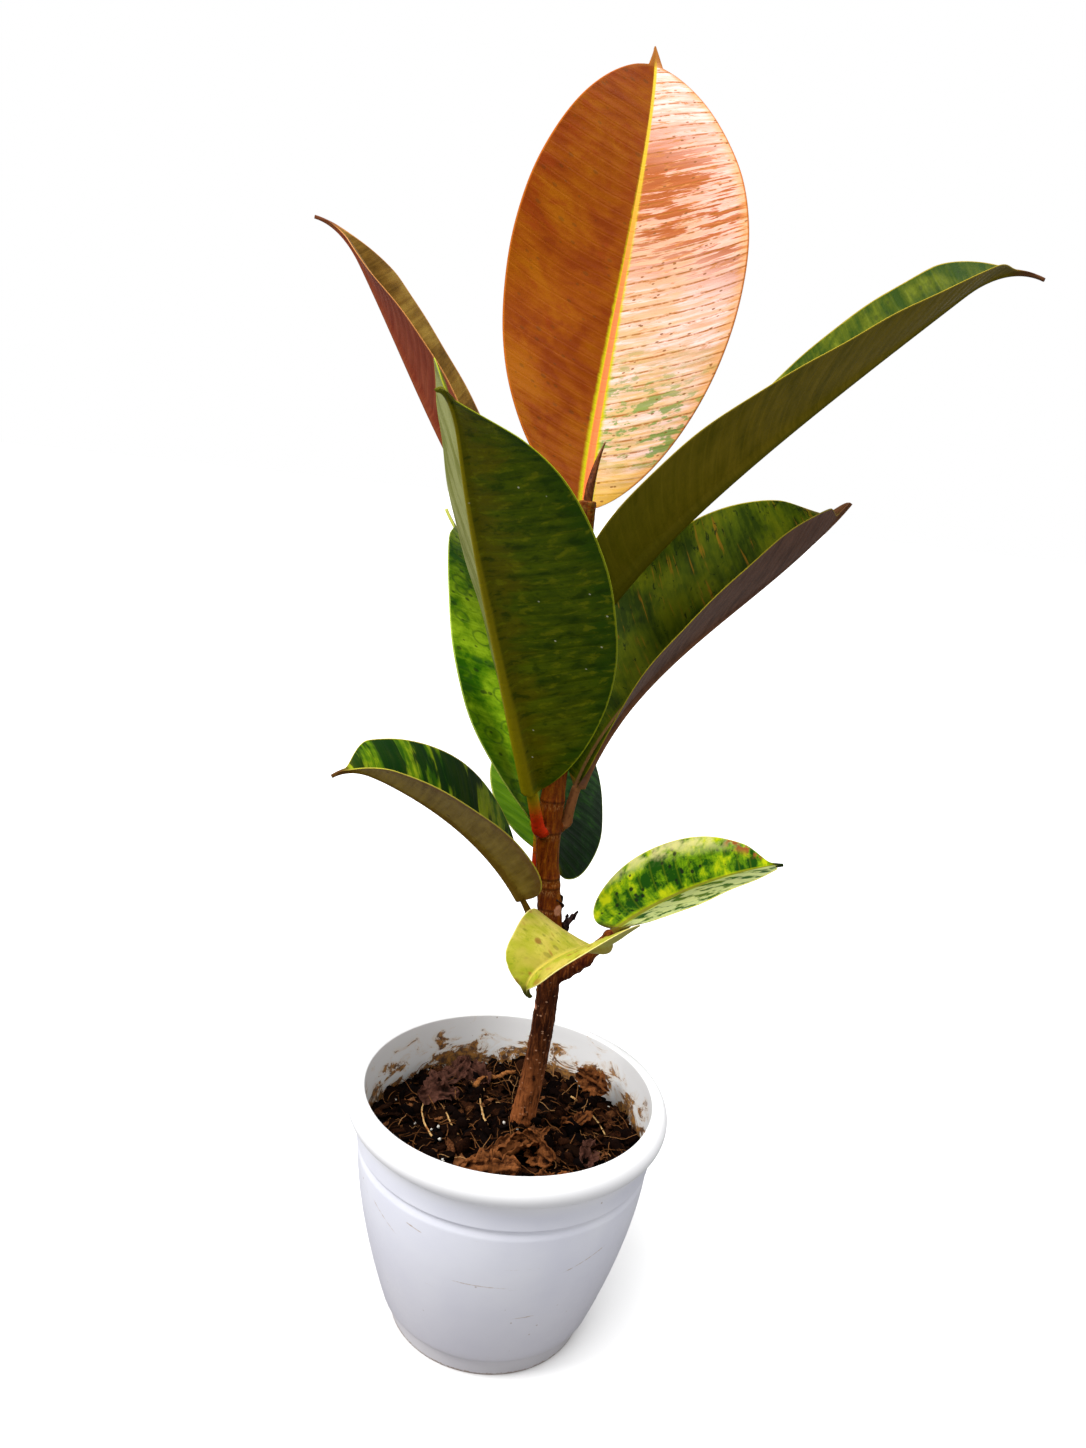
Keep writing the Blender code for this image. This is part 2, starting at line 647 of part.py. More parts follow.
def build():
    clear_scene()
    parts = new_collection("potted_rubber_plant")
    cutters = new_collection("cutters")
    make_pot(parts, cutters)
    soil = make_soil(parts, cutters)
    make_stem(parts)
    make_leaves(parts)
    make_bud(parts)
    make_stipules(parts)
    for litter in DEAD_LEAVES:
        make_dead_leaf(litter, parts, soil)
    for straw in STRAWS:
        make_straw(straw, parts, soil)


build()
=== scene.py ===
"""How the potted rubber plant looks: leaves, bark, soil, litter and a moulded white pot."""

from collections import namedtuple
from math import cos, degrees, hypot, pi, radians, sin

import bmesh
import bpy
import numpy as np
from mathutils import Matrix, Vector, noise


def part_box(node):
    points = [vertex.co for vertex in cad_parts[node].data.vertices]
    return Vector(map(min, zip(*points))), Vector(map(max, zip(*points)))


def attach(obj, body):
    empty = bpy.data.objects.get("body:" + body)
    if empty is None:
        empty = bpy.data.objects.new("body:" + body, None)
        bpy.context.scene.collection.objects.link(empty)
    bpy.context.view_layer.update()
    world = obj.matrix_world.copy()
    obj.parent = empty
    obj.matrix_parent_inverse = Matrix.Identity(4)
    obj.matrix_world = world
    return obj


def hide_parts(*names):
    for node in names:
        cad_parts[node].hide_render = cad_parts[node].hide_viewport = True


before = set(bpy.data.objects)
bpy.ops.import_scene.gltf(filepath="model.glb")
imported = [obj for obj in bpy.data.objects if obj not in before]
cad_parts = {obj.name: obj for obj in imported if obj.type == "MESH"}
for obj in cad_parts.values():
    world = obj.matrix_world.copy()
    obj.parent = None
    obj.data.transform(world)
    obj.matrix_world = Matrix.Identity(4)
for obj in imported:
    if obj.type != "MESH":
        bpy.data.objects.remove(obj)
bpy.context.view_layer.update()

MM = 0.001

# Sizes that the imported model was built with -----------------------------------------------

POT_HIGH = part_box("pot")[1]
POT_HEIGHT = POT_HIGH[2]
RIM_RADIUS = POT_HIGH[0]
BASE_RADIUS = 32.5 * MM
FOOT_HEIGHT = 6.6 * MM
FOOT_FLARE = 0.6 * MM
CREASE_RADIUS = 35.8 * MM
CREASE_HEIGHT = 8.0 * MM
GROOVE_RADIUS = 47.9 * MM
GROOVE_HEIGHT = 63.4 * MM
GROOVE_DEPTH = 0.5 * MM
BOWL_FULLNESS = 1.6
RIM_HALF_DEPTH = 3.6 * MM
RIM_HALF_HEIGHT = 4.7 * MM
POT_WALL = 1.3 * MM
POT_FLOOR = 2.0 * MM
DRAIN_COUNT = 6
DRAIN_RADIUS = 2.6 * MM
DRAIN_CIRCLE = 22.0 * MM

SOIL_LEVEL = 64.0 * MM
SOIL_MOUND = 4.5 * MM
MOUND_SPREAD = 13.0 * MM
SOIL_RELIEF = 0.9 * MM

STEM_X = 5.0 * MM
STEM_Y = 2.0 * MM
STEM_TOP = 272.0 * MM
STEM_ROOT = 12.0 * MM
STEM_BOW = 4.5 * MM
STEM_RADIUS = 3.6 * MM
STEM_FLARE = 1.1 * MM
STEM_TAPER = 1.0 * MM
STEM_BEND_HEIGHT = 122.0 * MM
SPUR_HEIGHT = 121.0 * MM
SPUR_REACH = 17.0 * MM
SPUR_RISE = 18.0 * MM
SPUR_RADIUS = 1.9 * MM
BUD_HEIGHT = 18.0 * MM
BUD_RADIUS = 1.35 * MM
BUD_LEAN = 0.17
BUD_RINGS, BUD_SIDES = 48, 22
STIPULE_HEIGHTS = (138.0 * MM, 146.0 * MM)
STIPULE_LENGTH = 9.0 * MM
STIPULE_WIDTH = 3.4 * MM
TIP_RADIUS = 0.55 * MM
GAP = 0.3 * MM                   # between pieces that touch
DRIP_SHARE = 0.06

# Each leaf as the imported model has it: height of its node on the stem; petiole and blade
# length; half width; then, at the stem, half way and at the tip, the rise above the horizon
# and the compass bearing of its midrib; the same for its roll; the fold and the cup of its
# left and right halves; how the fold opens toward the tip; fullness of its base and of its
# tip; the width of its right half over its left; the extra bend of its drip tip; the
# petiole's radius. Lengths are in millimetres, angles in degrees.
Leaf = namedtuple("Leaf", "node height petiole blade width rise bearing roll fold cup open "
                          "base tip right drip stalk")
LEAVES = (
    Leaf("leaf_top", 266, 4, 162, 37.0, (54, 72, 57), (94, 77, 99), (4, 1, 5),
         (9, -3), (-3, -8), -0.05, 0.70, 0.60, 1.0, -6, 1.6),
    Leaf("leaf_long_right", 236, 10, 158, 28.0, (60, 44, 42), (-32, 9, 12), (1, -7, 22),
         (27, 27), (-2, -1), 0.05, 0.30, 0.50, 1.0, -56, 1.8),
    Leaf("leaf_mid_right", 172, 13, 126, 34.0, (87, 45, 51), (24, 15, 30), (8, 1, -5),
         (42, 33), (4, -1), 0.20, 0.85, 0.55, 1.0, -1, 1.7),
    Leaf("leaf_front", 171, 17, 143, 35.0, (65, 52, 51), (-121, -109, -99), (-4, -18, -30),
         (14, 39), (-2, -4), -0.15, 0.70, 0.50, 1.0, -56, 1.9),
    Leaf("leaf_upper_left", 240, 16, 125, 24.5, (37, 56, 50), (167, 163, 160), (-5, 9, -11),
         (33, 27), (-12, -10), -0.35, 0.55, 0.70, 1.0, -38, 1.6),
    Leaf("leaf_mid_left", 153, 17, 110, 25.0, (87, 66, 28), (141, 143, 143), (15, -27, 16),
         (17, -22), (-1, -8), 0.0, 0.55, 0.65, 0.7, 25, 1.5),
    Leaf("leaf_back", 156, 6, 88, 26.0, (24, 20, 29), (86, 89, 87), (18, 6, 0),
         (8, -31), (-4, -26), -0.20, 0.45, 0.55, 1.0, 3, 1.4),
    Leaf("leaf_low_left", 139, 11, 78, 25.0, (65, 37, 20), (197, 200, 212), (6, -7, 1),
         (30, 31), (-5, -5), 0.0, 0.50, 0.55, 1.0, -47, 1.3),
)
SPUR_LEAVES = (
    Leaf("leaf_low_right", 0, 3, 70, 25.0, (11, 17, 2), (58, 27, 26), (-20, 1, 12),
         (16, 21), (-6, 1), 0.55, 0.50, 0.65, 1.0, 2, 1.3),
    Leaf("leaf_pale_drooping", -1, 3, 60, 17.0, (4, 16, -59), (266, 240, 212), (23, 5, -28),
         (34, 26), (0, -3), 0.55, 0.75, 0.55, 1.0, -84, 1.3),
)

# How each drip tip is drawn out: share of the blade where it starts, half width, power
DRIP_TIPS = {
    "leaf_top": (0.93, 2.6, 1.1), "leaf_long_right": (0.85, 4.6, 1.5),
    "leaf_mid_right": (0.89, 4.2, 0.6), "leaf_front": (0.90, 2.6, 1.2),
    "leaf_upper_left": (0.80, 4.4, 1.5), "leaf_mid_left": (0.89, 2.6, 1.2),
    "leaf_back": (0.90, 2.6, 1.2), "leaf_low_left": (0.85, 3.4, 1.4),
    "leaf_low_right": (0.87, 3.4, 1.3), "leaf_pale_drooping": (0.87, 2.8, 1.2),
}

# Fineness of the visible meshes
ROW_STEP = 0.9                   # millimetres between rows along a blade
HALF_COLUMNS = 22                # columns across each half of a blade
PETIOLE_ROWS = 14
PETIOLE_SINK = 1.6 * MM          # how far a petiole runs into the bark
POT_SEGMENTS = 192
POT_CORNER = 0.5 * MM
VEIN_PITCH = 4.4                 # millimetres between side veins
VEIN_SLANT = 0.30                # how far a side vein runs toward the tip for each mm outward
VEIN_BEND = 0.004                # and how much more for each mm squared
VEIN_RELIEF = 0.10 * MM
EDGE_WAVE = 0.22 * MM
BLADE_WAVE = 0.30 * MM
BLADE_THICKNESS = 0.50 * MM
EDGE_THINNING = 0.26 * MM
CHANNEL_DEPTH = 0.32 * MM        # along the top of the midrib


# Meshes -----------------------------------------------------------------------------------


def add_piece(name, mesh, material, node):
    """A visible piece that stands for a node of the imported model."""
    piece = bpy.data.objects.new(name, mesh)
    bpy.context.scene.collection.objects.link(piece)
    mesh.materials.append(material)
    mesh.shade_smooth()
    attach(piece, "root")
    if node:
        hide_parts(node)
    return piece


def mesh_from(name, points, faces, **values):
    """A mesh from arrays, with one number for each point under each given name."""
    mesh = bpy.data.meshes.new(name)
    mesh.from_pydata(np.asarray(points).tolist(), [], faces)
    for key, numbers in values.items():
        layer = mesh.attributes.new(key, "FLOAT", "POINT")
        layer.data.foreach_set("value", np.asarray(numbers, dtype=np.float32).ravel())
    mesh.update()
    return mesh


def wall_faces(rings, count):
    """Quads between closed rings of count points."""
    faces = []
    for i in range(rings - 1):
        for j in range(count):
            k = (j + 1) % count
            faces.append((i * count + j, i * count + k, (i + 1) * count + k, (i + 1) * count + j))
    return faces


def fan_faces(middle, start, count):
    """Triangles from a ring that begins at one point to another point in its middle."""
    return [(middle, start + j, start + (j + 1) % count) for j in range(count)]


def ring_faces(rings, count):
    """The wall of a tube, with one face at each end."""
    ends = [tuple(reversed(range(count))), tuple(range((rings - 1) * count, rings * count))]
    return wall_faces(rings, count) + ends


def make_outward(mesh):
    builder = bmesh.new()
    builder.from_mesh(mesh)
    bmesh.ops.recalc_face_normals(builder, faces=builder.faces)
    builder.to_mesh(mesh)
    builder.free()


def both(values):
    """The same values on the way out along the top and back along the bottom."""
    return np.concatenate([values, values[:, ::-1]], axis=1)


def smooth_step(value):
    value = np.clip(value, 0.0, 1.0)
    return value * value * (3 - 2 * value)


def tube(points, radii, sides, squash=1.0):
    """Rings round a path: (points of every ring, number of rings). Frames don't twist."""
    points = np.asarray(points, float)
    along = np.gradient(points, axis=0)
    along /= np.linalg.norm(along, axis=1)[:, None]
    side = np.cross(along[0], (0.0, 0.0, 1.0))
    if np.linalg.norm(side) < 0.1:
        side = np.cross(along[0], (0.0, 1.0, 0.0))
    rings = []
    turns = 2 * pi * np.arange(sides) / sides
    for point, forward, radius in zip(points, along, radii):
        side = side - forward * side.dot(forward)
        side /= np.linalg.norm(side)
        up = np.cross(forward, side)
        wide = np.broadcast_to(radius, (sides,))
        ring = point + np.outer(wide * np.cos(turns), side)
        rings.append(ring + np.outer(wide * squash * np.sin(turns), up))
    return np.concatenate(rings)


# Materials --------------------------------------------------------------------------------


class Field:
    """A number or colour that varies over a surface, so that nodes read as sums."""

    def __init__(self, paint, socket):
        self.paint, self.socket = paint, socket

    def __add__(self, other):
        return self.paint.sum("ADD", self, other)

    def __sub__(self, other):
        return self.paint.sum("SUBTRACT", self, other)

    def __mul__(self, other):
        return self.paint.sum("MULTIPLY", self, other)

    def __abs__(self):
        return self.paint.sum("ABSOLUTE", self)

    def fade(self, low, high, start, end):
        """A smooth change from start at low to end at high."""
        return self.paint.made("MapRange", {"Value": self, "From Min": low, "From Max": high,
                                            "To Min": start, "To Max": end},
                               interpolation_type="SMOOTHSTEP")

    def rise(self, low, high, top=1.0):
        return self.fade(low, high, 0.0, top)

    def fall(self, low, high, top=1.0):
        return self.fade(low, high, top, 0.0)

    def ramp(self, *stops):
        """Colours between stops, each (position, colour)."""
        node = self.paint.node("ValToRGB")
        self.paint.put(node.inputs[0], self)
        band = node.color_ramp
        while len(band.elements) < len(stops):
            band.elements.new(1.0)
        for element, (position, colour) in zip(band.elements, stops):
            element.position = position
            element.color = (*colour, 1.0)
        return Field(self.paint, node.outputs[0])


class Paint:
    """A material, whose nodes are written as expressions of fields."""

    def __init__(self, name, roughness, specular=0.5):
        self.material = bpy.data.materials.new(name)
        self.material.use_nodes = True
        self.tree = self.material.node_tree
        self.shader = self.tree.nodes["Principled BSDF"]
        self.shader.inputs["Roughness"].default_value = roughness
        self.shader.inputs["Specular IOR Level"].default_value = specular
        place = self.node("TexCoord").outputs["Object"]
        self.place = self.made("VectorMath", {0: Field(self, place), "Scale": 1000.0},
                               operation="SCALE")       # the object's own place, in millimetres

    def node(self, kind, **settings):
        node = self.tree.nodes.new("ShaderNode" + kind)
        for key, value in settings.items():
            setattr(node, key, value)
        return node

    def put(self, socket, value):
        if isinstance(value, Field):
            self.tree.links.new(value.socket, socket)
        elif isinstance(value, tuple) and socket.type == "RGBA":
            socket.default_value = (*value, 1.0)
        else:
            socket.default_value = value

    def made(self, kind, inputs, output=0, **settings):
        """One output of a new node with the given inputs."""
        node = self.node(kind, **settings)
        for key, value in inputs.items():
            self.put(node.inputs[key], value)
        return Field(self, node.outputs[output])

    def read(self, name):
        """A number stored on the mesh."""
        return self.made("Attribute", {}, "Fac", attribute_name=name)

    def sum(self, operation, a, b=0.0):
        return self.made("Math", {0: a, 1: b}, operation=operation)

    def join(self, x, y, z=0.0):
        return self.made("CombineXYZ", {0: x, 1: y, 2: z})

    def split(self, vector):
        node = self.node("SeparateXYZ")
        self.put(node.inputs[0], vector)
        return [Field(self, output) for output in node.outputs]

    def distance(self, point):
        """How far the surface is from a point, in millimetres."""
        return self.made("VectorMath", {0: self.place, 1: point}, "Value", operation="DISTANCE")

    def clouds(self, vector, scale, detail=3.0, rough=0.55, warp=0.0):
        return self.made("TexNoise", {"Vector": vector, "Scale": scale, "Detail": detail,
                                      "Roughness": rough, "Distortion": warp}, "Fac")

    def cells(self, vector, scale):
        return self.made("TexVoronoi", {"Vector": vector, "Scale": scale}, "Distance")

    def mix(self, share, a, b):
        """Colour a with a share of colour b."""
        return self.made("Mix", {0: share, 6: a, 7: b}, 2, data_type="RGBA")

    def colour(self, value):
        self.put(self.shader.inputs["Base Color"], value)

    def rough(self, value):
        self.put(self.shader.inputs["Roughness"], value)

    def relief(self, height, depth, strength=1.0):
        """Fine relief: height from 0 to 1, depth in metres."""
        bump = self.made("Bump", {"Strength": strength, "Distance": depth, "Height": height})
        self.put(self.shader.inputs["Normal"], bump)


class LeafPaint(Paint):
    """A leaf's material.

    Its fields are in millimetres: reach along the midrib from the foot of the blade, span
    across it, away outward on either half, edge in from the margin, and vein, which is the same
    all along a side vein. Share is the share of the blade's length; under is 1 below.
    """

    def __init__(self, name, roughness, specular):
        super().__init__(name, roughness, specular)
        for key in ("reach", "span", "edge", "share", "under"):
            setattr(self, key, self.read(key))
        self.away = abs(self.span)
        self.vein = self.reach - (self.away * VEIN_SLANT + self.away * self.away * VEIN_BEND)

    def streaks(self, along, across, seed, detail=3.0, rough=0.55, warp=0.0):
        """Noise drawn out along the side veins."""
        place = self.join(self.vein * along, self.span * across, seed)
        return self.clouds(place, 1.0, detail, rough, warp)

    def mottle(self, along, across, seed, detail=3.0):
        """Noise that follows the midrib only."""
        return self.clouds(self.join(self.reach * along, self.span * across, seed), 1.0, detail)

    def flecks(self, along, across, seed):
        """Distance to the nearest of many spots, drawn out along the side veins."""
        return self.cells(self.join(self.vein * along, self.span * across, seed), 1.0)

    def spots(self, along, across, seed):
        """Distance to the nearest of many spots that follow the midrib only."""
        return self.cells(self.join(self.reach * along, self.span * across, seed), 1.0)

    def side_veins(self, width):
        """1 on a side vein, 0 between."""
        return self.sum("PINGPONG", self.vein, VEIN_PITCH / 2).fall(0.0, width)


# Stem -------------------------------------------------------------------------------------


def compass(bearing):
    """The level way out at a bearing in degrees."""
    return Vector((cos(radians(bearing)), sin(radians(bearing)), 0.0))


def stem_centre(height):
    """Middle of the stem: it leans a little to the right, then back, as it climbs."""
    rise = max(height - SOIL_LEVEL, 0.0)
    lower = min(rise / (STEM_BEND_HEIGHT - SOIL_LEVEL), 1.0)
    upper = min(max((height - STEM_BEND_HEIGHT) / (50 * MM), 0.0), 1.0)
    bow = STEM_BOW * (sin(lower * pi / 2) - 1.25 * (1 - cos(upper * pi)) / 2)
    back = STEM_Y * (1 - min(rise / (STEM_BEND_HEIGHT - SOIL_LEVEL), 1.0))
    return Vector((STEM_X + bow - 0.8 * MM * lower, back, height))


def stem_radius(height):
    rise = max(height - SOIL_LEVEL, 0.0)
    flare = STEM_FLARE * np.exp(-rise / (9 * MM))
    share = min(max((height - 200 * MM) / (STEM_TOP - 200 * MM), 0.0), 1.0)
    return STEM_RADIUS + flare - STEM_TAPER * share


def on_bark(height, bearing, depth):
    """A place on the stem, sunk a little into it."""
    return stem_centre(height) + compass(bearing) * (stem_radius(height) - depth)


def spur_end():
    return stem_centre(SPUR_HEIGHT) + Vector((SPUR_REACH, -1.0 * MM, SPUR_RISE))


def leaf_start(leaf):
    """Where a petiole meets the bark at its node."""
    height = leaf.height * MM
    clear = GAP + leaf.stalk * MM * max(sin(radians(leaf.rise[0])), 0.0)
    return stem_centre(height) + compass(leaf.bearing[0]) * (stem_radius(height) + clear)


def spur_leaf_start(leaf):
    clear = SPUR_RADIUS * 0.85 + GAP
    return spur_end() + compass(leaf.bearing[0]) * clear + Vector((0.0, 0.0, leaf.height * MM))


# Leaf shape -------------------------------------------------------------------------------


def three_point(values, share):
    """A smooth change through a start, a middle and an end value."""
    start, middle, end = values
    near = start * (1 - share) * (1 - 2 * share)
    far = end * share * (2 * share - 1)
    return near + 4 * middle * share * (1 - share) + far


def half_width(leaf, share):
    reach = np.minimum(share / (1 - DRIP_SHARE), 1.0)
    peak = leaf.base / (leaf.base + leaf.tip)
    full = reach ** leaf.base * (1 - reach) ** leaf.tip
    full /= peak ** leaf.base * (1 - peak) ** leaf.tip
    start, broad, power = DRIP_TIPS[leaf.node]
    drawn = np.clip((1 - share) / (1 - start), 0.0, 1.0)
    drip = broad * MM * drawn ** power * smooth_step((share - start + 0.1) / 0.1) + 0.25 * MM
    foot = 2 * TIP_RADIUS * 1.4 * np.exp(-share / 0.02)
    blade = leaf.width * MM * full * (1 - smooth_step((share - start) / (0.985 - start)))
    return np.sqrt(blade ** 2 + drip ** 2 + foot ** 2)


def leaf_direction(leaf, share, split):
    blade = np.maximum((share - split) / (1 - split), 0.0)
    droop = np.maximum((blade - 0.82) / 0.18, 0.0) ** 1.5
    rise = np.radians(three_point(leaf.rise, share) + leaf.drip * droop)
    bearing = np.radians(three_point(leaf.bearing, share))
    flat = np.cos(rise)
    return np.stack([flat * np.cos(bearing), flat * np.sin(bearing), np.sin(rise)], axis=-1)


def leaf_frames(leaf, start):
    """Rows along the petiole and the blade: blade share, place, sideways and upward."""
    total = (leaf.petiole + leaf.blade) * MM
    split = leaf.petiole / (leaf.petiole + leaf.blade)
    count = round(leaf.blade / ROW_STEP)
    even = np.arange(count + 1) / count
    eased = 0.5 - 0.5 * np.cos(pi * even)
    blade = 0.35 * eased + 0.65 * even
    shares = np.concatenate([split * np.arange(PETIOLE_ROWS) / PETIOLE_ROWS,
                             split + (1 - split) * blade])
    fine = np.linspace(0.0, 1.0, 1601)
    steps = leaf_direction(leaf, (fine[1:] + fine[:-1]) / 2, split) * total / 1600
    path = np.concatenate([[(0.0, 0.0, 0.0)], np.cumsum(steps, axis=0)]) + np.array(start)
    place = np.stack([np.interp(shares, fine, path[:, k]) for k in range(3)], axis=-1)
    along = leaf_direction(leaf, shares, split)
    bearing = np.radians(three_point(leaf.bearing, shares))
    side = np.stack([-np.sin(bearing), np.cos(bearing), 0 * bearing], axis=-1)
    up = np.cross(along, side)
    blade = np.maximum((shares - split) / (1 - split), 0.0)
    roll = np.radians(three_point(leaf.roll, blade))[:, None]
    turned = side * np.cos(roll) + up * np.sin(roll)
    return shares - split, blade, place, turned, np.cross(along, turned)


def blade_half(leaf, sign, which, blade, place, side, up):
    """One half of a blade from the midrib outward: places, normals and distances."""
    even = np.arange(HALF_COLUMNS + 1) / HALF_COLUMNS
    outward = 0.25 * even + 0.75 * smooth_step(even)
    middle = (outward[1:] + outward[:-1]) / 2
    width = half_width(leaf, blade) * (1.0 if sign > 0 else leaf.right)
    fold = np.radians(leaf.fold[which] * (1 + leaf.open * (2 * blade - 1)))
    cup = radians(leaf.cup[which])

    def lean(t):
        return np.outer(fold, smooth_step(t / 0.06)) + cup * t[None, :]

    steps = np.diff(outward)[None, :] * width[:, None]
    zero = np.zeros((len(blade), 1))
    across = np.concatenate([zero, np.cumsum(np.cos(lean(middle)) * steps, axis=1)], axis=1)
    lift = np.concatenate([zero, np.cumsum(np.sin(lean(middle)) * steps, axis=1)], axis=1)
    angle = lean(outward)[..., None]
    normal = side[:, None] * (-sign * np.sin(angle)) + up[:, None] * np.cos(angle)
    points = place[:, None] + side[:, None] * (sign * across[..., None])
    points = points + up[:, None] * lift[..., None]
    away = outward[None, :] * width[:, None]
    return points, normal, sign * away, width[:, None] - away


def make_leaf(leaf, start, material, slot):
    """A blade with a raised midrib, side veins, a thin wavy edge, and its petiole."""
    before, blade, place, side, up = leaf_frames(leaf, start)
    first = PETIOLE_ROWS
    rows = len(blade)
    left = blade_half(leaf, 1, 0, blade, place, side, up)
    right = blade_half(leaf, -1, 1, blade, place, side, up)
    points, normal, span, edge = (np.concatenate([a[:, ::-1], b[:, 1:]], axis=1)
                                  for a, b in zip(left, right))
    reach = (before * (leaf.petiole + leaf.blade))[:, None] + 0 * span
    away = np.abs(span) / MM
    seed = sum(map(ord, leaf.node)) % 17
    edge_share = away / (away + edge / MM + 1e-9)
    vein = reach - VEIN_SLANT * away - VEIN_BEND * away ** 2
    fading = smooth_step((away - 1.5) / 4) * smooth_step(edge / MM / 3)
    quilt = np.cos(2 * pi * vein / VEIN_PITCH + 0.6 * np.sin(vein / 9 + seed))
    wave = np.sin(reach / 8.5 + seed) + 0.6 * np.sin(reach / 4.1 + 2 * seed + np.sign(span))
    lift = VEIN_RELIEF * quilt * fading + EDGE_WAVE * wave * edge_share ** 3
    lift += BLADE_WAVE * np.sin(reach / 13 + away / 9 + seed) * smooth_step(away / 8)
    lift *= smooth_step(blade[:, None] / 0.05) * smooth_step((1 - blade[:, None]) / 0.08)
    skin = BLADE_THICKNESS - EDGE_THINNING * edge_share ** 4
    rib = np.maximum(leaf.stalk * MM * (1 - blade) ** 0.7, 0.45 * MM)[:, None]
    ridge = rib * np.sqrt(np.clip(1 - (away * MM / (1.15 * rib)) ** 2, 0.0, 1.0))
    channel = CHANNEL_DEPTH * np.exp(-(away / 0.9) ** 2) * (1 - 0.6 * blade[:, None])
    top = points + normal * (lift + skin / 2 - channel)[..., None]
    bottom = points + normal * (lift - skin / 2 - 1.5 * ridge)[..., None]
    columns = points.shape[1]
    turns = pi * (np.arange(columns) + 0.5) / columns
    pull = smooth_step((np.arange(rows) - first * 0.15) / first)
    for i in range(first + 1):
        swell = 1.0 + 0.25 * (1 - min(i / 5, 1.0)) ** 2
        radius = leaf.stalk * MM * swell
        flat = 1 - 0.25 * pull[i]
        for target, half in ((top, 1), (bottom, -1)):
            sunk = 1 - 0.35 * pull[i] * np.exp(-((turns - pi / 2) / 0.5) ** 2) * (half > 0)
            ring = place[i] + np.outer(radius * np.cos(turns), side[i])
            ring += np.outer(half * radius * flat * np.sin(turns) * sunk, up[i])
            target[i] = ring
    shift = -np.array(compass(leaf.bearing[0])) * PETIOLE_SINK
    for i, share in ((0, 1.0), (1, 0.3)):
        top[i] += shift * share
        bottom[i] += shift * share
    rings = np.concatenate([top, bottom[:, ::-1]], axis=1)
    under = np.concatenate([0 * span, 1 + 0 * span], axis=1)
    mesh = mesh_from(leaf.node + "_skin", rings.reshape(-1, 3), ring_faces(rows, 2 * columns),
                     reach=both(reach), span=both(span / MM), edge=both(edge / MM),
                     share=both(blade[:, None] + 0 * span), under=under)
    make_outward(mesh)
    return add_piece(leaf.node + "_blade", mesh, material, leaf.node)


# Leaf colours -----------------------------------------------------------------------------

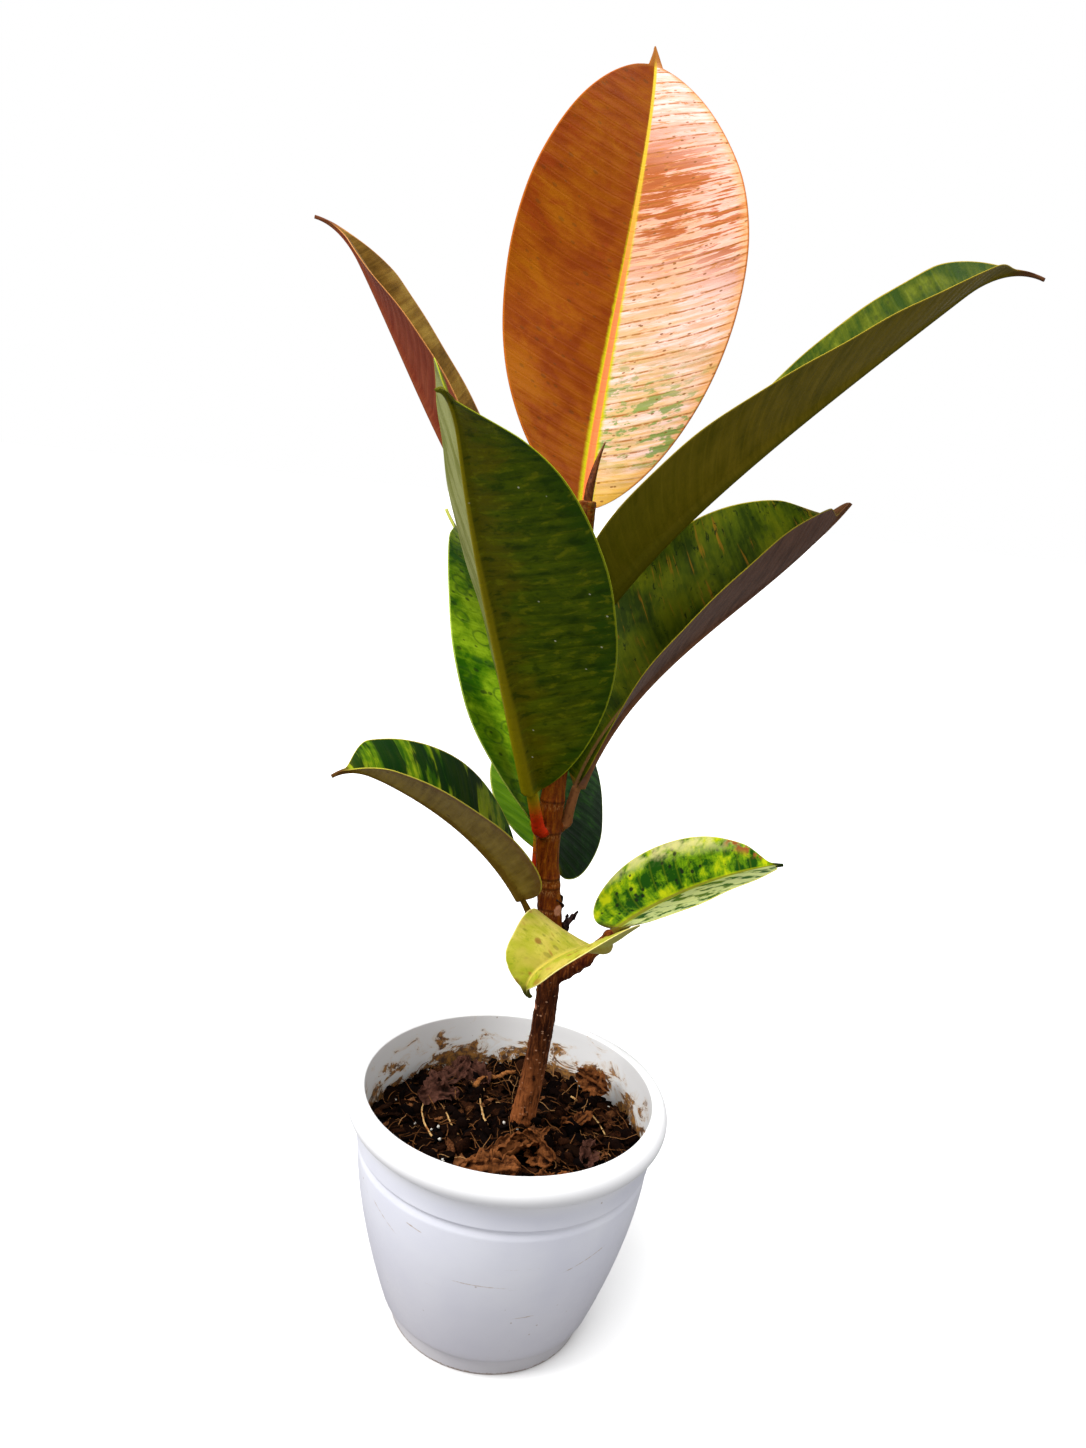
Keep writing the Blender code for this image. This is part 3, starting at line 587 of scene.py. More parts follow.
# A leaf's colours on top; how much of it is pale patches; how strong its streaks and specks
# are; margin and rib; then its underside, its petiole from foot to blade, and its drip tip
Tone = namedtuple("Tone", "deep mid light patch streak speck margin margin_width rib "
                          "under_deep under_light petiole petiole_end tip")
TONES = {
    "leaf_top": Tone((0.12, 0.019, 0.0001), (0.155, 0.032, 0.0001), (0.19, 0.052, 0.0002), 0.5,
                     0.3, 0.3, (0.34, 0.085, 0.004), 0.9, (0.80, 0.16, 0.07),
                     (0.30, 0.07, 0.03), (0.45, 0.14, 0.05), (0.45, 0.10, 0.03),
                     (0.62, 0.14, 0.05), (0.20, 0.07, 0.01)),
    "leaf_long_right": Tone((0.014, 0.032, 0.001), (0.042, 0.058, 0.002), (0.10, 0.12, 0.006), 0.45,
                            0.5, 0.4, (0.30, 0.22, 0.02), 0.7, (0.32, 0.33, 0.06),
                            (0.095, 0.078, 0.0010), (0.20, 0.145, 0.0080), (0.06, 0.03, 0.002),
                            (0.08, 0.07, 0.001), (0.10, 0.04, 0.015)),
    "leaf_mid_right": Tone((0.018, 0.034, 0.0003), (0.048, 0.072, 0.0006), (0.10, 0.12, 0.0015),
                           0.50, 0.5, 0.4, (0.40, 0.32, 0.02), 0.6, (0.22, 0.11, 0.04),
                           (0.055, 0.024, 0.012), (0.16, 0.080, 0.050), (0.16, 0.06, 0.02),
                           (0.20, 0.08, 0.03), (0.12, 0.05, 0.02)),
    "leaf_front": Tone((0.05, 0.07, 0.002), (0.10, 0.13, 0.004), (0.19, 0.21, 0.01), 0.4, 0.4,
                       0.3, (0.28, 0.32, 0.01), 0.6, (0.22, 0.22, 0.03),
                       (0.014, 0.034, 0.0002), (0.082, 0.115, 0.0006), (0.42, 0.020, 0.003),
                       (0.24, 0.19, 0.002), (0.10, 0.10, 0.005)),
    "leaf_upper_left": Tone((0.06, 0.028, 0.002), (0.11, 0.055, 0.006), (0.17, 0.10, 0.015), 0.4,
                            0.5, 0.2, (0.42, 0.18, 0.05), 0.8, (0.30, 0.13, 0.05),
                            (0.15, 0.022, 0.010), (0.25, 0.06, 0.026), (0.20, 0.04, 0.01),
                            (0.24, 0.06, 0.02), (0.10, 0.03, 0.01)),
    "leaf_mid_left": Tone((0.020, 0.090, 0.0008), (0.085, 0.19, 0.002), (0.22, 0.36, 0.008), 0.5,
                          0.3, 0.8, (0.48, 0.60, 0.10), 0.7, (0.24, 0.34, 0.03),
                          (0.06, 0.09, 0.002), (0.16, 0.20, 0.008), (0.42, 0.020, 0.004),
                          (0.24, 0.18, 0.004), (0.50, 0.52, 0.10)),
    "leaf_back": Tone((0.002, 0.012, 0.0010), (0.004, 0.022, 0.002), (0.02, 0.08, 0.004), 0.35,
                      0.5, 0.4, (0.40, 0.45, 0.08), 0.7, (0.10, 0.20, 0.015),
                      (0.05, 0.08, 0.002), (0.12, 0.16, 0.006), (0.20, 0.06, 0.006),
                      (0.14, 0.14, 0.006), (0.10, 0.06, 0.01)),
    "leaf_low_left": Tone((0.020, 0.070, 0.0010), (0.075, 0.150, 0.002), (0.26, 0.32, 0.008),
                          0.50, 0.9, 0.2, (0.50, 0.42, 0.05), 0.6, (0.20, 0.22, 0.02),
                          (0.12, 0.070, 0.002), (0.27, 0.185, 0.026), (0.035, 0.010, 0.002),
                          (0.12, 0.060, 0.004), (0.08, 0.035, 0.006)),
    "leaf_low_right": Tone((0.010, 0.065, 0.0006), (0.14, 0.29, 0.0015), (0.52, 0.58, 0.003),
                           0.50, 0.5, 1.1, (0.66, 0.62, 0.12), 0.8, (0.22, 0.20, 0.02),
                           (0.12, 0.17, 0.006), (0.30, 0.36, 0.02), (0.09, 0.05, 0.006),
                           (0.12, 0.08, 0.006), (0.01, 0.02, 0.001)),
    "leaf_pale_drooping": Tone((0.24, 0.27, 0.010), (0.34, 0.33, 0.028), (0.50, 0.42, 0.08), 0.5,
                               0.3, 0.5, (0.70, 0.60, 0.22), 0.5, (0.44, 0.36, 0.05),
                               (0.32, 0.33, 0.02), (0.46, 0.40, 0.07), (0.14, 0.07, 0.01),
                               (0.30, 0.22, 0.02), (0.05, 0.05, 0.003)),
}


def blotched(paint, tone, seed):
    """Top colours: broad patches and streaks that run along the side veins."""
    broad = paint.streaks(0.06, 0.045, seed, 3.0, 0.6, 0.6)
    thin = paint.streaks(0.42, 0.055, seed + 3, 3.0, 0.6, 0.3)
    grain = paint.streaks(1.6, 0.9, seed)
    value = (broad - 0.5) * 2.6 + tone.patch
    value += (thin - 0.5) * (tone.streak * 2.4)
    value += (grain - 0.5) * 0.3
    spots = paint.streaks(0.26, 0.2, seed + 6, 4.0, 0.65, 0.3)
    value += (spots - 0.5) * (tone.speck * 1.9)
    return value.ramp((0.12, tone.deep), (0.48, tone.mid), (0.92, tone.light))


def specked(paint, colour, tone, seed, dark):
    """Small dark flecks drawn out along the side veins."""
    spot = paint.flecks(0.36, 0.24, seed)
    wide = paint.streaks(0.08, 0.06, seed + 9, 2.0)
    limit = wide.fade(0.35, 0.65, 0.1, 0.32)
    return paint.mix(spot.fall(limit * 0.6, limit, 0.85 * tone.speck), colour, dark)


def leaf_skin(node, top_extra=None, under_extra=None, roughness=0.45, specular=0.03):
    """A leaf's material: mottled top, plainer underside, midrib, margin and petiole."""
    tone = TONES[node]
    seed = float(sum(map(ord, node)) % 23)
    paint = LeafPaint(node + "_skin", roughness, specular)
    line = paint.side_veins(0.55)
    top = blotched(paint, tone, seed)
    top = paint.mix(line * 0.1, top, tone.light)
    top = specked(paint, top, tone, seed, (0.01, 0.018, 0.004))
    if top_extra:
        top = top_extra(paint, top)
    rib_width = paint.share.fade(0.0, 1.0, 1.3, 0.35)
    rib = paint.away.fall(rib_width * 0.6, rib_width)
    border = paint.away.fall(rib_width, rib_width * 2.1)
    if node != "leaf_top":
        top = paint.mix(border * 0.45, top, tone.light)
        top = paint.mix(rib * 0.85, top, tone.rib)
    patch = paint.streaks(0.16, 0.1, seed + 5, 4.0, 0.6)
    streak = paint.streaks(0.55, 0.06, seed + 7, 3.0)
    shade = patch * 0.55 + streak * 0.45
    below = shade.ramp((0.33, tone.under_deep), (0.68, tone.under_light))
    below = paint.mix(line * 0.3, below, tone.under_light)
    below = specked(paint, below, tone._replace(speck=tone.speck * 0.35), seed + 2,
                    (0.02, 0.02, 0.004))
    if under_extra:
        below = under_extra(paint, below)
    low_rib = paint.away.fall(rib_width * 0.9, rib_width * 1.5)
    below = paint.mix(low_rib * 0.7, below, tone.petiole_end)
    colour = paint.mix(paint.under, top, below)
    ragged = paint.edge + paint.mottle(0.5, 0.5, seed) * 0.5
    rim = ragged.fall(tone.margin_width * 0.4 + 0.2, tone.margin_width * 0.8 + 0.3)
    rim *= paint.share.rise(0.02, 0.08)
    colour = paint.mix(rim * 0.75, colour, tone.margin)
    point = paint.share.rise(0.9, 0.965) * paint.edge.fall(1.2, 4.0)
    colour = paint.mix(point, colour, tone.tip)
    stalk = paint.reach.fall(-1.0, 3.5)
    mottle = paint.clouds(paint.place, 0.9, 4.0)
    foot = (paint.reach + mottle * 4.0).rise(-9.0, 2.0)
    petiole = paint.mix(foot, tone.petiole, tone.petiole_end)
    petiole = paint.mix(mottle.rise(0.5, 0.75, 0.5), petiole, (0.05, 0.015, 0.006))
    colour = paint.mix(stalk, colour, petiole)
    paint.colour(colour)
    fine = paint.clouds(paint.place, 2.2, 3.0)
    paint.rough(fine.fade(0.3, 0.7, roughness - 0.07, roughness + 0.1))
    pores = paint.cells(paint.place, 1.9)
    paint.relief(fine * 0.35 + pores * 0.1 + streak * 0.8 + line * -0.35, 0.00016, 0.75)
    return paint.material


def top_leaf_halves(paint, colour):
    """The newest leaf: orange brown on the left, pink and cream with a painted sheen on the right,
    a coral rib.
    """
    red = paint.streaks(0.11, 0.08, 6.0, 5.0, 0.65, 0.2)
    high = paint.share.rise(0.35, 0.75)
    red = (red + high * 0.07).rise(0.57, 0.7, 0.6)
    colour = paint.mix(red, colour, (0.14, 0.018, 0.0006))
    wave = paint.streaks(0.5, 0.045, 4.0, 4.0, 0.65, 0.2)
    broad = paint.streaks(0.05, 0.05, 8.0, 3.0, 0.55, 0.5)
    skin = paint.mix((paint.share + broad * 0.5).rise(0.4, 0.95), (0.46, 0.29, 0.12),
                     (0.55, 0.28, 0.21))
    # Painted sheen: pale pink streaks stand in for the gloss reflecting the bright surroundings.
    painted_sheen = (wave + broad * 0.4).rise(0.6, 0.86)
    skin = paint.mix(painted_sheen, skin, (0.68, 0.45, 0.4))
    fine = paint.streaks(2.6, 0.1, 1.0, 3.0)
    skin = paint.mix(fine.rise(0.5, 0.72, 0.45), skin, (0.55, 0.27, 0.13))
    middle = abs(paint.share - 0.64).fall(0.05, 0.22)
    reach_out = paint.away.fall(10.0, 30.0, 0.1)
    patch = wave + broad * 0.5 + reach_out
    patch = middle * (patch + fine * 0.16).rise(0.84, 0.91)
    skin = paint.mix(patch * 0.95, skin, (0.28, 0.062, 0.005))
    # Painted shade: dark lines along the creases of the right half stand in for shade in the
    # creases.
    crumple = paint.streaks(0.85, 0.16, 22.0, 4.0, 0.7, 0.6)
    crease = crumple.rise(0.56, 0.63) * paint.share.fade(0.25, 0.5, 0.35, 0.8)
    skin = paint.mix(crease, skin, (0.4, 0.15, 0.045))
    tan = (paint.edge + wave * 7.0).fall(4.0, 8.0, 0.6)
    skin = paint.mix(tan, skin, (0.55, 0.24, 0.07))
    ragged = paint.mottle(0.35, 0.35, 2.0, 3.0)
    line = paint.side_veins(0.55) * ragged.fade(0.36, 0.58, 0.15, 0.95)
    skin = paint.mix(line, skin, (0.26, 0.085, 0.012))
    low = paint.share.fall(0.03, 0.14)
    skin = paint.mix(low * 0.8, skin, (0.48, 0.27, 0.03))
    moss = paint.streaks(0.34, 0.12, 15.0, 4.0, 0.65)
    place = paint.share.rise(0.08, 0.14) * paint.share.fall(0.2, 0.4)
    green = place * moss.rise(0.5, 0.57)
    skin = paint.mix(green * 0.85, skin, (0.12, 0.2, 0.04))
    fleck = paint.flecks(0.45, 0.26, 2.0)
    skin = paint.mix(fleck.fall(0.1, 0.17, 0.85), skin, (0.16, 0.06, 0.015))
    right = paint.span.fall(-0.6, 0.1)
    colour = paint.mix(right, colour, skin)
    fading = paint.share.fade(0.35, 0.85, 1.0, 0.15)
    wide = paint.share.fade(0.0, 0.9, 3.6, 1.5)
    border = (paint.away + wave * 1.2).fall(wide * 0.55, wide)
    colour = paint.mix(border * fading, colour, (0.36, 0.33, 0.003))
    core = paint.away.fall(wide * 0.2, wide * 0.42)
    rib = paint.mix(paint.share.rise(0.4, 0.75), (0.74, 0.13, 0.045), (0.46, 0.31, 0.02))
    return paint.mix(core * 0.95, colour, rib)


def scorched_tip(paint, colour):
    """The low right leaf: cream upper half toward the tip and a brown scorched patch."""
    ragged = paint.streaks(0.2, 0.2, 3.0, 4.0)
    marbled = paint.mix(ragged.rise(0.42, 0.52), (0.015, 0.07, 0.008), (0.5, 0.55, 0.22))
    colour = paint.mix(paint.span.fall(-2.2, -1.2, 0.85), colour, marbled)
    outer = (paint.span * 0.045 + paint.share * 0.9).rise(1.05, 1.45)
    pale = outer * ragged.rise(0.35, 0.6)
    colour = paint.mix(pale * 0.85, colour, (0.72, 0.66, 0.26))
    near = paint.share.rise(0.74, 0.8) * paint.share.fall(0.88, 0.94)
    near *= paint.edge.fall(3.0, 9.0)
    burnt = near * paint.span.rise(2.0, 4.0) * ragged.rise(0.46, 0.54)
    colour = paint.mix(burnt, colour, (0.3, 0.085, 0.02))
    tip = paint.share.rise(0.93, 0.99, 0.8)
    return paint.mix(tip, colour, (0.02, 0.05, 0.01))


def dark_flames(paint, colour):
    """The low left leaf: deep green flames from the midrib over a yellow-green ground."""
    flame = paint.streaks(0.15, 0.03, 12.0, 4.0, 0.6, 0.3)
    dark = flame.rise(0.44, 0.52, 0.95)
    return paint.mix(dark, colour, (0.003, 0.02, 0.002))


def brown_edges(paint, colour):
    """An olive underside that browns toward its margin, with a few dark marks."""
    cloud = paint.clouds(paint.place, 0.35, 3.0)
    brown = (paint.edge + cloud * 6.0).fall(4.0, 9.0, 0.7)
    colour = paint.mix(brown, colour, (0.13, 0.06, 0.008))
    mark = paint.spots(0.14, 0.16, 3.0)
    return paint.mix(mark.fall(0.06, 0.11, 0.7), colour, (0.05, 0.022, 0.006))


def rusty_streaks(paint, colour):
    """The mid right leaf: thin orange streaks along some veins and small black marks."""
    thin = paint.streaks(0.85, 0.06, 31.0, 3.0, 0.6, 0.4)
    where = paint.clouds(paint.place, 0.06, 2.0)
    rust = thin.rise(0.58, 0.66, 0.75) * where.rise(0.45, 0.58)
    colour = paint.mix(rust, colour, (0.24, 0.11, 0.006))
    blot = paint.streaks(0.5, 0.3, 17.0, 4.0, 0.7, 0.6)
    blot = (blot + paint.edge.fall(0.0, 14.0, 0.06)).rise(0.62, 0.66, 0.85)
    return paint.mix(blot, colour, (0.004, 0.012, 0.0006))


def back_leaf_halves(paint, colour):
    """The back leaf: painted backlight on the left half, a painted grey sheen on the deep blue
    green right half.
    """
    streak = paint.streaks(0.3, 0.05, 2.0, 3.0)
    # Painted light: the left half is painted light green as if lit from behind.
    light = streak.ramp((0.3, (0.035, 0.11, 0.001)), (0.7, (0.12, 0.24, 0.004)))
    # Painted sheen: faint grey streaks on the right half.
    back_painted_sheen = streak.rise(0.5, 0.75, 0.06)
    colour = paint.mix(back_painted_sheen, colour, (0.06, 0.1, 0.06))
    return paint.mix(paint.span.rise(-0.5, 0.5), colour, light)


def bright_marbling(paint, colour):
    """The mid left leaf: dark rings and specks near the tip, darker toward the petiole."""
    rings = paint.flecks(0.16, 0.12, 5.0)
    band = rings.rise(0.3, 0.36) * rings.fall(0.38, 0.46)
    colour = paint.mix(band * 0.55, colour, (0.02, 0.07, 0.006))
    low = paint.share.fall(0.05, 0.28, 0.75)
    return paint.mix(low, colour, (0.02, 0.07, 0.004))


def brown_spots(paint, colour):
    """The pale leaf: loose brown spots, thickest toward the tip."""
    spot = paint.spots(0.2, 0.2, 6.0)
    size = paint.share.fade(0.3, 0.9, 0.07, 0.3)
    share_spot = spot.fall(size * 0.5, size, 0.8)
    colour = paint.mix(share_spot, colour, (0.24, 0.11, 0.02))
    dash = paint.spots(0.34, 0.13, 9.0)
    dash = dash.fall(0.1, 0.22, 0.85) * paint.share.rise(0.55, 0.7)
    colour = paint.mix(dash, colour, (0.26, 0.12, 0.02))
    grain = paint.clouds(paint.place, 1.1, 4.0, 0.6)
    colour = paint.mix(grain.rise(0.55, 0.68, 0.45), colour, (0.14, 0.2, 0.01))
    warm = paint.clouds(paint.place, 0.1, 2.0)
    warm = warm.rise(0.45, 0.65, 0.45) * paint.share.rise(0.25, 0.6)
    return paint.mix(warm, colour, (0.48, 0.34, 0.08))


def warm_base(paint, colour):
    """An underside that yellows toward the petiole."""
    near = paint.share.fall(0.02, 0.4, 0.55)
    return paint.mix(near, colour, (0.1, 0.1, 0.002))


def front_underside(paint, colour):
    """The front leaf from below: olive brown by the midrib, deep green outward, a paler left."""
    cloud = paint.streaks(0.14, 0.05, 3.0, 4.0, 0.6, 0.4)
    colour = warm_base(paint, colour)
    brown = (paint.away + cloud * 44.0).fall(23.0, 35.0, 0.65)
    colour = paint.mix(brown, colour, (0.105, 0.085, 0.0006))
    green = (paint.edge + cloud * 26.0).fall(12.0, 22.0, 0.8)
    colour = paint.mix(green, colour, (0.016, 0.05, 0.0004))
    spots = paint.streaks(0.34, 0.16, 8.0, 4.0, 0.65, 0.3)
    colour = paint.mix(spots.rise(0.52, 0.66, 0.65), colour, (0.01, 0.028, 0.0004))
    colour = paint.mix(spots.fall(0.34, 0.46, 0.5), colour, (0.15, 0.16, 0.002))
    dust = paint.cells(paint.place, 0.15)
    colour = paint.mix(dust.fall(0.03, 0.055, 0.7), colour, (0.5, 0.5, 0.38))
    pale = paint.span.fall(-2.5, -1.0, 0.9) * paint.share.fade(0.15, 0.6, 0.5, 1)
    return paint.mix(pale, colour, paint.mix(cloud.rise(0.4, 0.6), (0.17, 0.18, 0.035),
                                             (0.28, 0.29, 0.1)))


def make_leaves():
    extras = {
        "leaf_top": dict(top_extra=top_leaf_halves, roughness=0.42, specular=0.02),
        "leaf_low_right": dict(top_extra=scorched_tip),
        "leaf_low_left": dict(top_extra=dark_flames, under_extra=brown_edges),
        "leaf_mid_right": dict(top_extra=rusty_streaks),
        "leaf_back": dict(top_extra=back_leaf_halves, roughness=0.40, specular=0.02),
        "leaf_mid_left": dict(top_extra=bright_marbling),
        "leaf_pale_drooping": dict(top_extra=brown_spots, under_extra=brown_spots),
        "leaf_front": dict(under_extra=front_underside),
        "leaf_long_right": dict(under_extra=warm_base),
    }
    slots = {"leaf_top": "leaf_new", "leaf_pale_drooping": "leaf_pale"}
    starts = [(leaf, leaf_start(leaf)) for leaf in LEAVES]
    starts += [(leaf, spur_leaf_start(leaf)) for leaf in SPUR_LEAVES]
    for leaf, start in starts:
        skin = leaf_skin(leaf.node, **extras.get(leaf.node, {}))
        make_leaf(leaf, start, skin, slots.get(leaf.node, "leaf_green"))


# Pot --------------------------------------------------------------------------------------


def bowl_radius(height):
    share = (height - CREASE_HEIGHT) / (GROOVE_HEIGHT - CREASE_HEIGHT)
    share = min(max(share, 0.0), 1.0)
    return CREASE_RADIUS + (GROOVE_RADIUS - CREASE_RADIUS) * (1 - (1 - share) ** BOWL_FULLNESS)


def rounded(points, radius, steps=4):
    """A profile whose inner corners are eased by short curves."""
    out = [np.array(points[0])]
    for before, corner, after in zip(points, points[1:], points[2:]):
        before, corner, after = (np.array(p, float) for p in (before, corner, after))
        back, ahead = before - corner, after - corner
        reach = min(radius, 0.45 * np.linalg.norm(back), 0.45 * np.linalg.norm(ahead))
        start = corner + back / np.linalg.norm(back) * reach
        end = corner + ahead / np.linalg.norm(ahead) * reach
        for i in range(steps + 1):
            t = i / steps
            out.append((1 - t) ** 2 * start + 2 * t * (1 - t) * corner + t * t * end)
    out.append(np.array(points[-1]))
    return out


def pot_profile():
    """Up the inside from the floor's middle, round the rolled rim and down the outside."""
    bowl = [CREASE_HEIGHT + (GROOVE_HEIGHT - CREASE_HEIGHT) * i / 30 for i in range(31)]
    inside = [(0.0, POT_FLOOR), (BASE_RADIUS - POT_WALL, POT_FLOOR),
              (CREASE_RADIUS - POT_WALL, CREASE_HEIGHT + POT_WALL)]
    inside += [(bowl_radius(z) - POT_WALL, z) for z in bowl[2:]]
    centre = RIM_RADIUS - RIM_HALF_DEPTH
    middle = POT_HEIGHT - RIM_HALF_HEIGHT
    rim = []
    for i in range(33):
        turn = radians(120 - 190 * i / 32)
        rim.append((centre + RIM_HALF_DEPTH * cos(turn), middle + RIM_HALF_HEIGHT * sin(turn)))
    inside.append((rim[0][0], middle))
    band = GROOVE_RADIUS + GROOVE_DEPTH
    neck = [(band, middle - RIM_HALF_HEIGHT), (band, GROOVE_HEIGHT + 2.2 * GROOVE_DEPTH),
            (GROOVE_RADIUS - GROOVE_DEPTH, GROOVE_HEIGHT + 0.6 * GROOVE_DEPTH),
            (GROOVE_RADIUS - GROOVE_DEPTH, GROOVE_HEIGHT - 0.6 * GROOVE_DEPTH),
            (bowl_radius(GROOVE_HEIGHT - 2.5 * MM), GROOVE_HEIGHT - 2.5 * MM)]
    bowl_out = [(bowl_radius(z), z) for z in reversed(bowl[:-2])]
    foot = [(BASE_RADIUS + FOOT_FLARE, FOOT_HEIGHT), (BASE_RADIUS, 0.0),
            (BASE_RADIUS - 2.2 * MM, 0.0), (0.0, 0.0)]
    return np.array(rounded(inside + rim + neck + bowl_out + foot, POT_CORNER))


def make_pot():
    profile = pot_profile()
    turns = 2 * pi * np.arange(POT_SEGMENTS) / POT_SEGMENTS
    radius, height = profile[1:-1, 0], profile[1:-1, 1]
    wobble = 1 + 0.0012 * np.sin(2 * turns + 0.6)[None, :] * (height[:, None] / POT_HEIGHT)
    x = radius[:, None] * np.cos(turns) * wobble
    y = radius[:, None] * np.sin(turns) * wobble
    z = height[:, None] + 0 * turns
    points = np.stack([x, y, z], axis=-1).reshape(-1, 3).tolist()
    points += [(0.0, 0.0, profile[0, 1]), (0.0, 0.0, profile[-1, 1])]
    rows = len(radius)
    end = rows * POT_SEGMENTS
    faces = wall_faces(rows, POT_SEGMENTS) + fan_faces(end, 0, POT_SEGMENTS)
    faces += fan_faces(end + 1, end - POT_SEGMENTS, POT_SEGMENTS)
    mesh = mesh_from("pot_shell", points, faces)
    make_outward(mesh)
    pot = add_piece("pot_shell", mesh, pot_plastic(), "pot")
    cut_drains(pot)
    pot.data.set_sharp_from_angle(angle=radians(50))


def cut_drains(pot):
    """Holes through the pot's floor."""
    drains = bmesh.new()
    for i in range(DRAIN_COUNT):
        angle = 2 * pi * i / DRAIN_COUNT
        place = Matrix.Translation((DRAIN_CIRCLE * cos(angle), DRAIN_CIRCLE * sin(angle),
                                    POT_FLOOR / 2))
        bmesh.ops.create_cone(drains, cap_ends=True, segments=32, radius1=DRAIN_RADIUS,
                              radius2=DRAIN_RADIUS, depth=3 * POT_FLOOR, matrix=place)
    tool_mesh = bpy.data.meshes.new("drain_cutter")
    drains.to_mesh(tool_mesh)
    drains.free()
    tool = bpy.data.objects.new("drain_cutter", tool_mesh)
    bpy.context.scene.collection.objects.link(tool)
    cut = pot.modifiers.new("Drains", "BOOLEAN")
    cut.object = tool
    cut.solver = "EXACT"
    bake_modifiers(pot)
    bpy.data.objects.remove(tool, do_unlink=True)


def bake_modifiers(piece):
    """Replaces a piece's mesh with its modified one."""
    graph = bpy.context.evaluated_depsgraph_get()
    mesh = bpy.data.meshes.new_from_object(piece.evaluated_get(graph), depsgraph=graph)
    piece.modifiers.clear()
    piece.data = mesh
    mesh.shade_smooth()


# Long scratches on the outside: (bearing, height, slope, half length), degrees and mm
SCUFFS = ((-93.0, 43.0, 0.0, 9.0), (-52.0, 49.0, 0.28, 8.0), (-136.0, 53.0, -0.45, 6.0),
          (-120.0, 57.0, -0.15, 3.0), (-74.0, 30.0, 0.10, 4.0), (70.0, 40.0, 0.05, 9.0),
          (150.0, 48.0, -0.20, 7.0))


def pot_plastic():
    """White moulded plastic: scuffs and scratches outside, soil stains inside the rim, painted
    light on the rim and inner wall and painted shade low on the outside wall.
    """
    paint = Paint("pot_plastic_skin", 0.34, 0.45)
    place = paint.place
    x, y, z = paint.split(place)
    radius = paint.sum("SQRT", x * x + y * y)
    wide = paint.clouds(place, 0.035, 3.0)
    fine = paint.clouds(place, 0.55, 5.0, 0.65)
    colour = wide.ramp((0.35, (0.7, 0.71, 0.79)), (0.65, (0.76, 0.77, 0.83)))
    outside_wall = radius.rise(33.0, 34.5)
    # Painted light: the rim, which faces up toward the lamps, is painted paler than the body.
    colour = paint.mix(z.rise(68.0, 74.0), colour, (0.82, 0.82, 0.83))
    inside = radius.fall(46.9, 47.4) * z.rise(58.0, 62.0)
    # Painted light: the inside wall above the soil is painted paler, standing in for light falling
    # on it.
    colour = paint.mix(inside, colour, (0.9, 0.9, 0.9))
    splash = paint.clouds(paint.join(x * 0.1, y * 0.1, z * 0.16), 1.0, 5.0, 0.7, 0.8)
    low = z.fall(64.0, 84.0, 0.22)
    haze = inside * (splash + low).rise(0.6, 0.74, 0.35)
    colour = paint.mix(haze, colour, (0.62, 0.37, 0.1))
    stain = inside * (splash + low).rise(0.69, 0.74)
    tint = fine.ramp((0.4, (0.06, 0.018, 0.004)), (0.62, (0.46, 0.19, 0.02)))
    colour = paint.mix(stain * 0.95, colour, tint)
    speck = paint.cells(place, 0.22)
    dirt = speck.fall(0.05, 0.09, 0.55) * wide.rise(0.52, 0.6)
    colour = paint.mix(dirt, colour, (0.3, 0.2, 0.12))
    streak = paint.clouds(paint.join(x * 0.03, y * 0.03, z * 1.3), 1.0, 4.0, 0.6, 0.4)
    scuff = streak.rise(0.66, 0.72, 0.55) * fine.rise(0.48, 0.6)
    scuff *= wide.rise(0.47, 0.56)
    scuff *= z.fall(60.0, 64.0)
    colour = paint.mix(scuff, colour, (0.5, 0.42, 0.33))
    angle = paint.sum("ARCTAN2", y, x)
    for bearing, level, slope, half in SCUFFS:
        along = (angle - radians(bearing)) * 45.0
        off = abs(z - level - along * slope)
        near = (off + fine * 0.9).fall(0.4, 0.75)
        ends = abs(along).fall(half * 0.7, half)
        broken = streak.fade(0.36, 0.5, 0.25, 0.9)
        mark = near * ends * (broken * outside_wall)
        colour = paint.mix(mark, colour, (0.42, 0.3, 0.2))
    grime = (z + fine * 7.0).fall(8.0, 15.0, 0.3)
    colour = paint.mix(grime, colour, (0.55, 0.46, 0.38))
    base = (z + fine * 2.2).fall(1.3, 2.1, 0.8)
    colour = paint.mix(base, colour, (0.26, 0.15, 0.08))
    # Painted shade: the outside wall is painted greyer toward the bottom, where it faces away from
    # the light.
    painted_low_shade = z.fall(2.0, 62.0, 0.3) * outside_wall
    colour = paint.mix(painted_low_shade, colour, (0.5, 0.44, 0.46))
    paint.colour(colour)
    paint.rough(fine.fade(0.3, 0.7, 0.28, 0.46))
    paint.relief(fine * 0.25 + wide, 0.00025, 0.35)
    return paint.material


# Soil -------------------------------------------------------------------------------------


def soil_height(x, y):
    away = np.hypot(x - STEM_X, y - STEM_Y) / MOUND_SPREAD
    waves = np.sin(x / (7 * MM) + 1.0) * np.cos(y / (6 * MM)) + 0.5 * np.sin((x + y) / (3.7 * MM))
    return SOIL_LEVEL + SOIL_MOUND * np.exp(-away * away / 2) + SOIL_RELIEF * waves


def soil_skin(name, *stops, roughness=0.92):
    """Crumbs coloured by the number each carries, with a fine grain."""
    paint = Paint(name, roughness, 0.03)
    grain = paint.clouds(paint.place, 1.6, 5.0, 0.7)
    value = paint.read("tint") + (grain - 0.5) * 0.7
    paint.colour(value.ramp(*stops))
    paint.relief(grain, 0.0006, 0.8)
    return paint.material


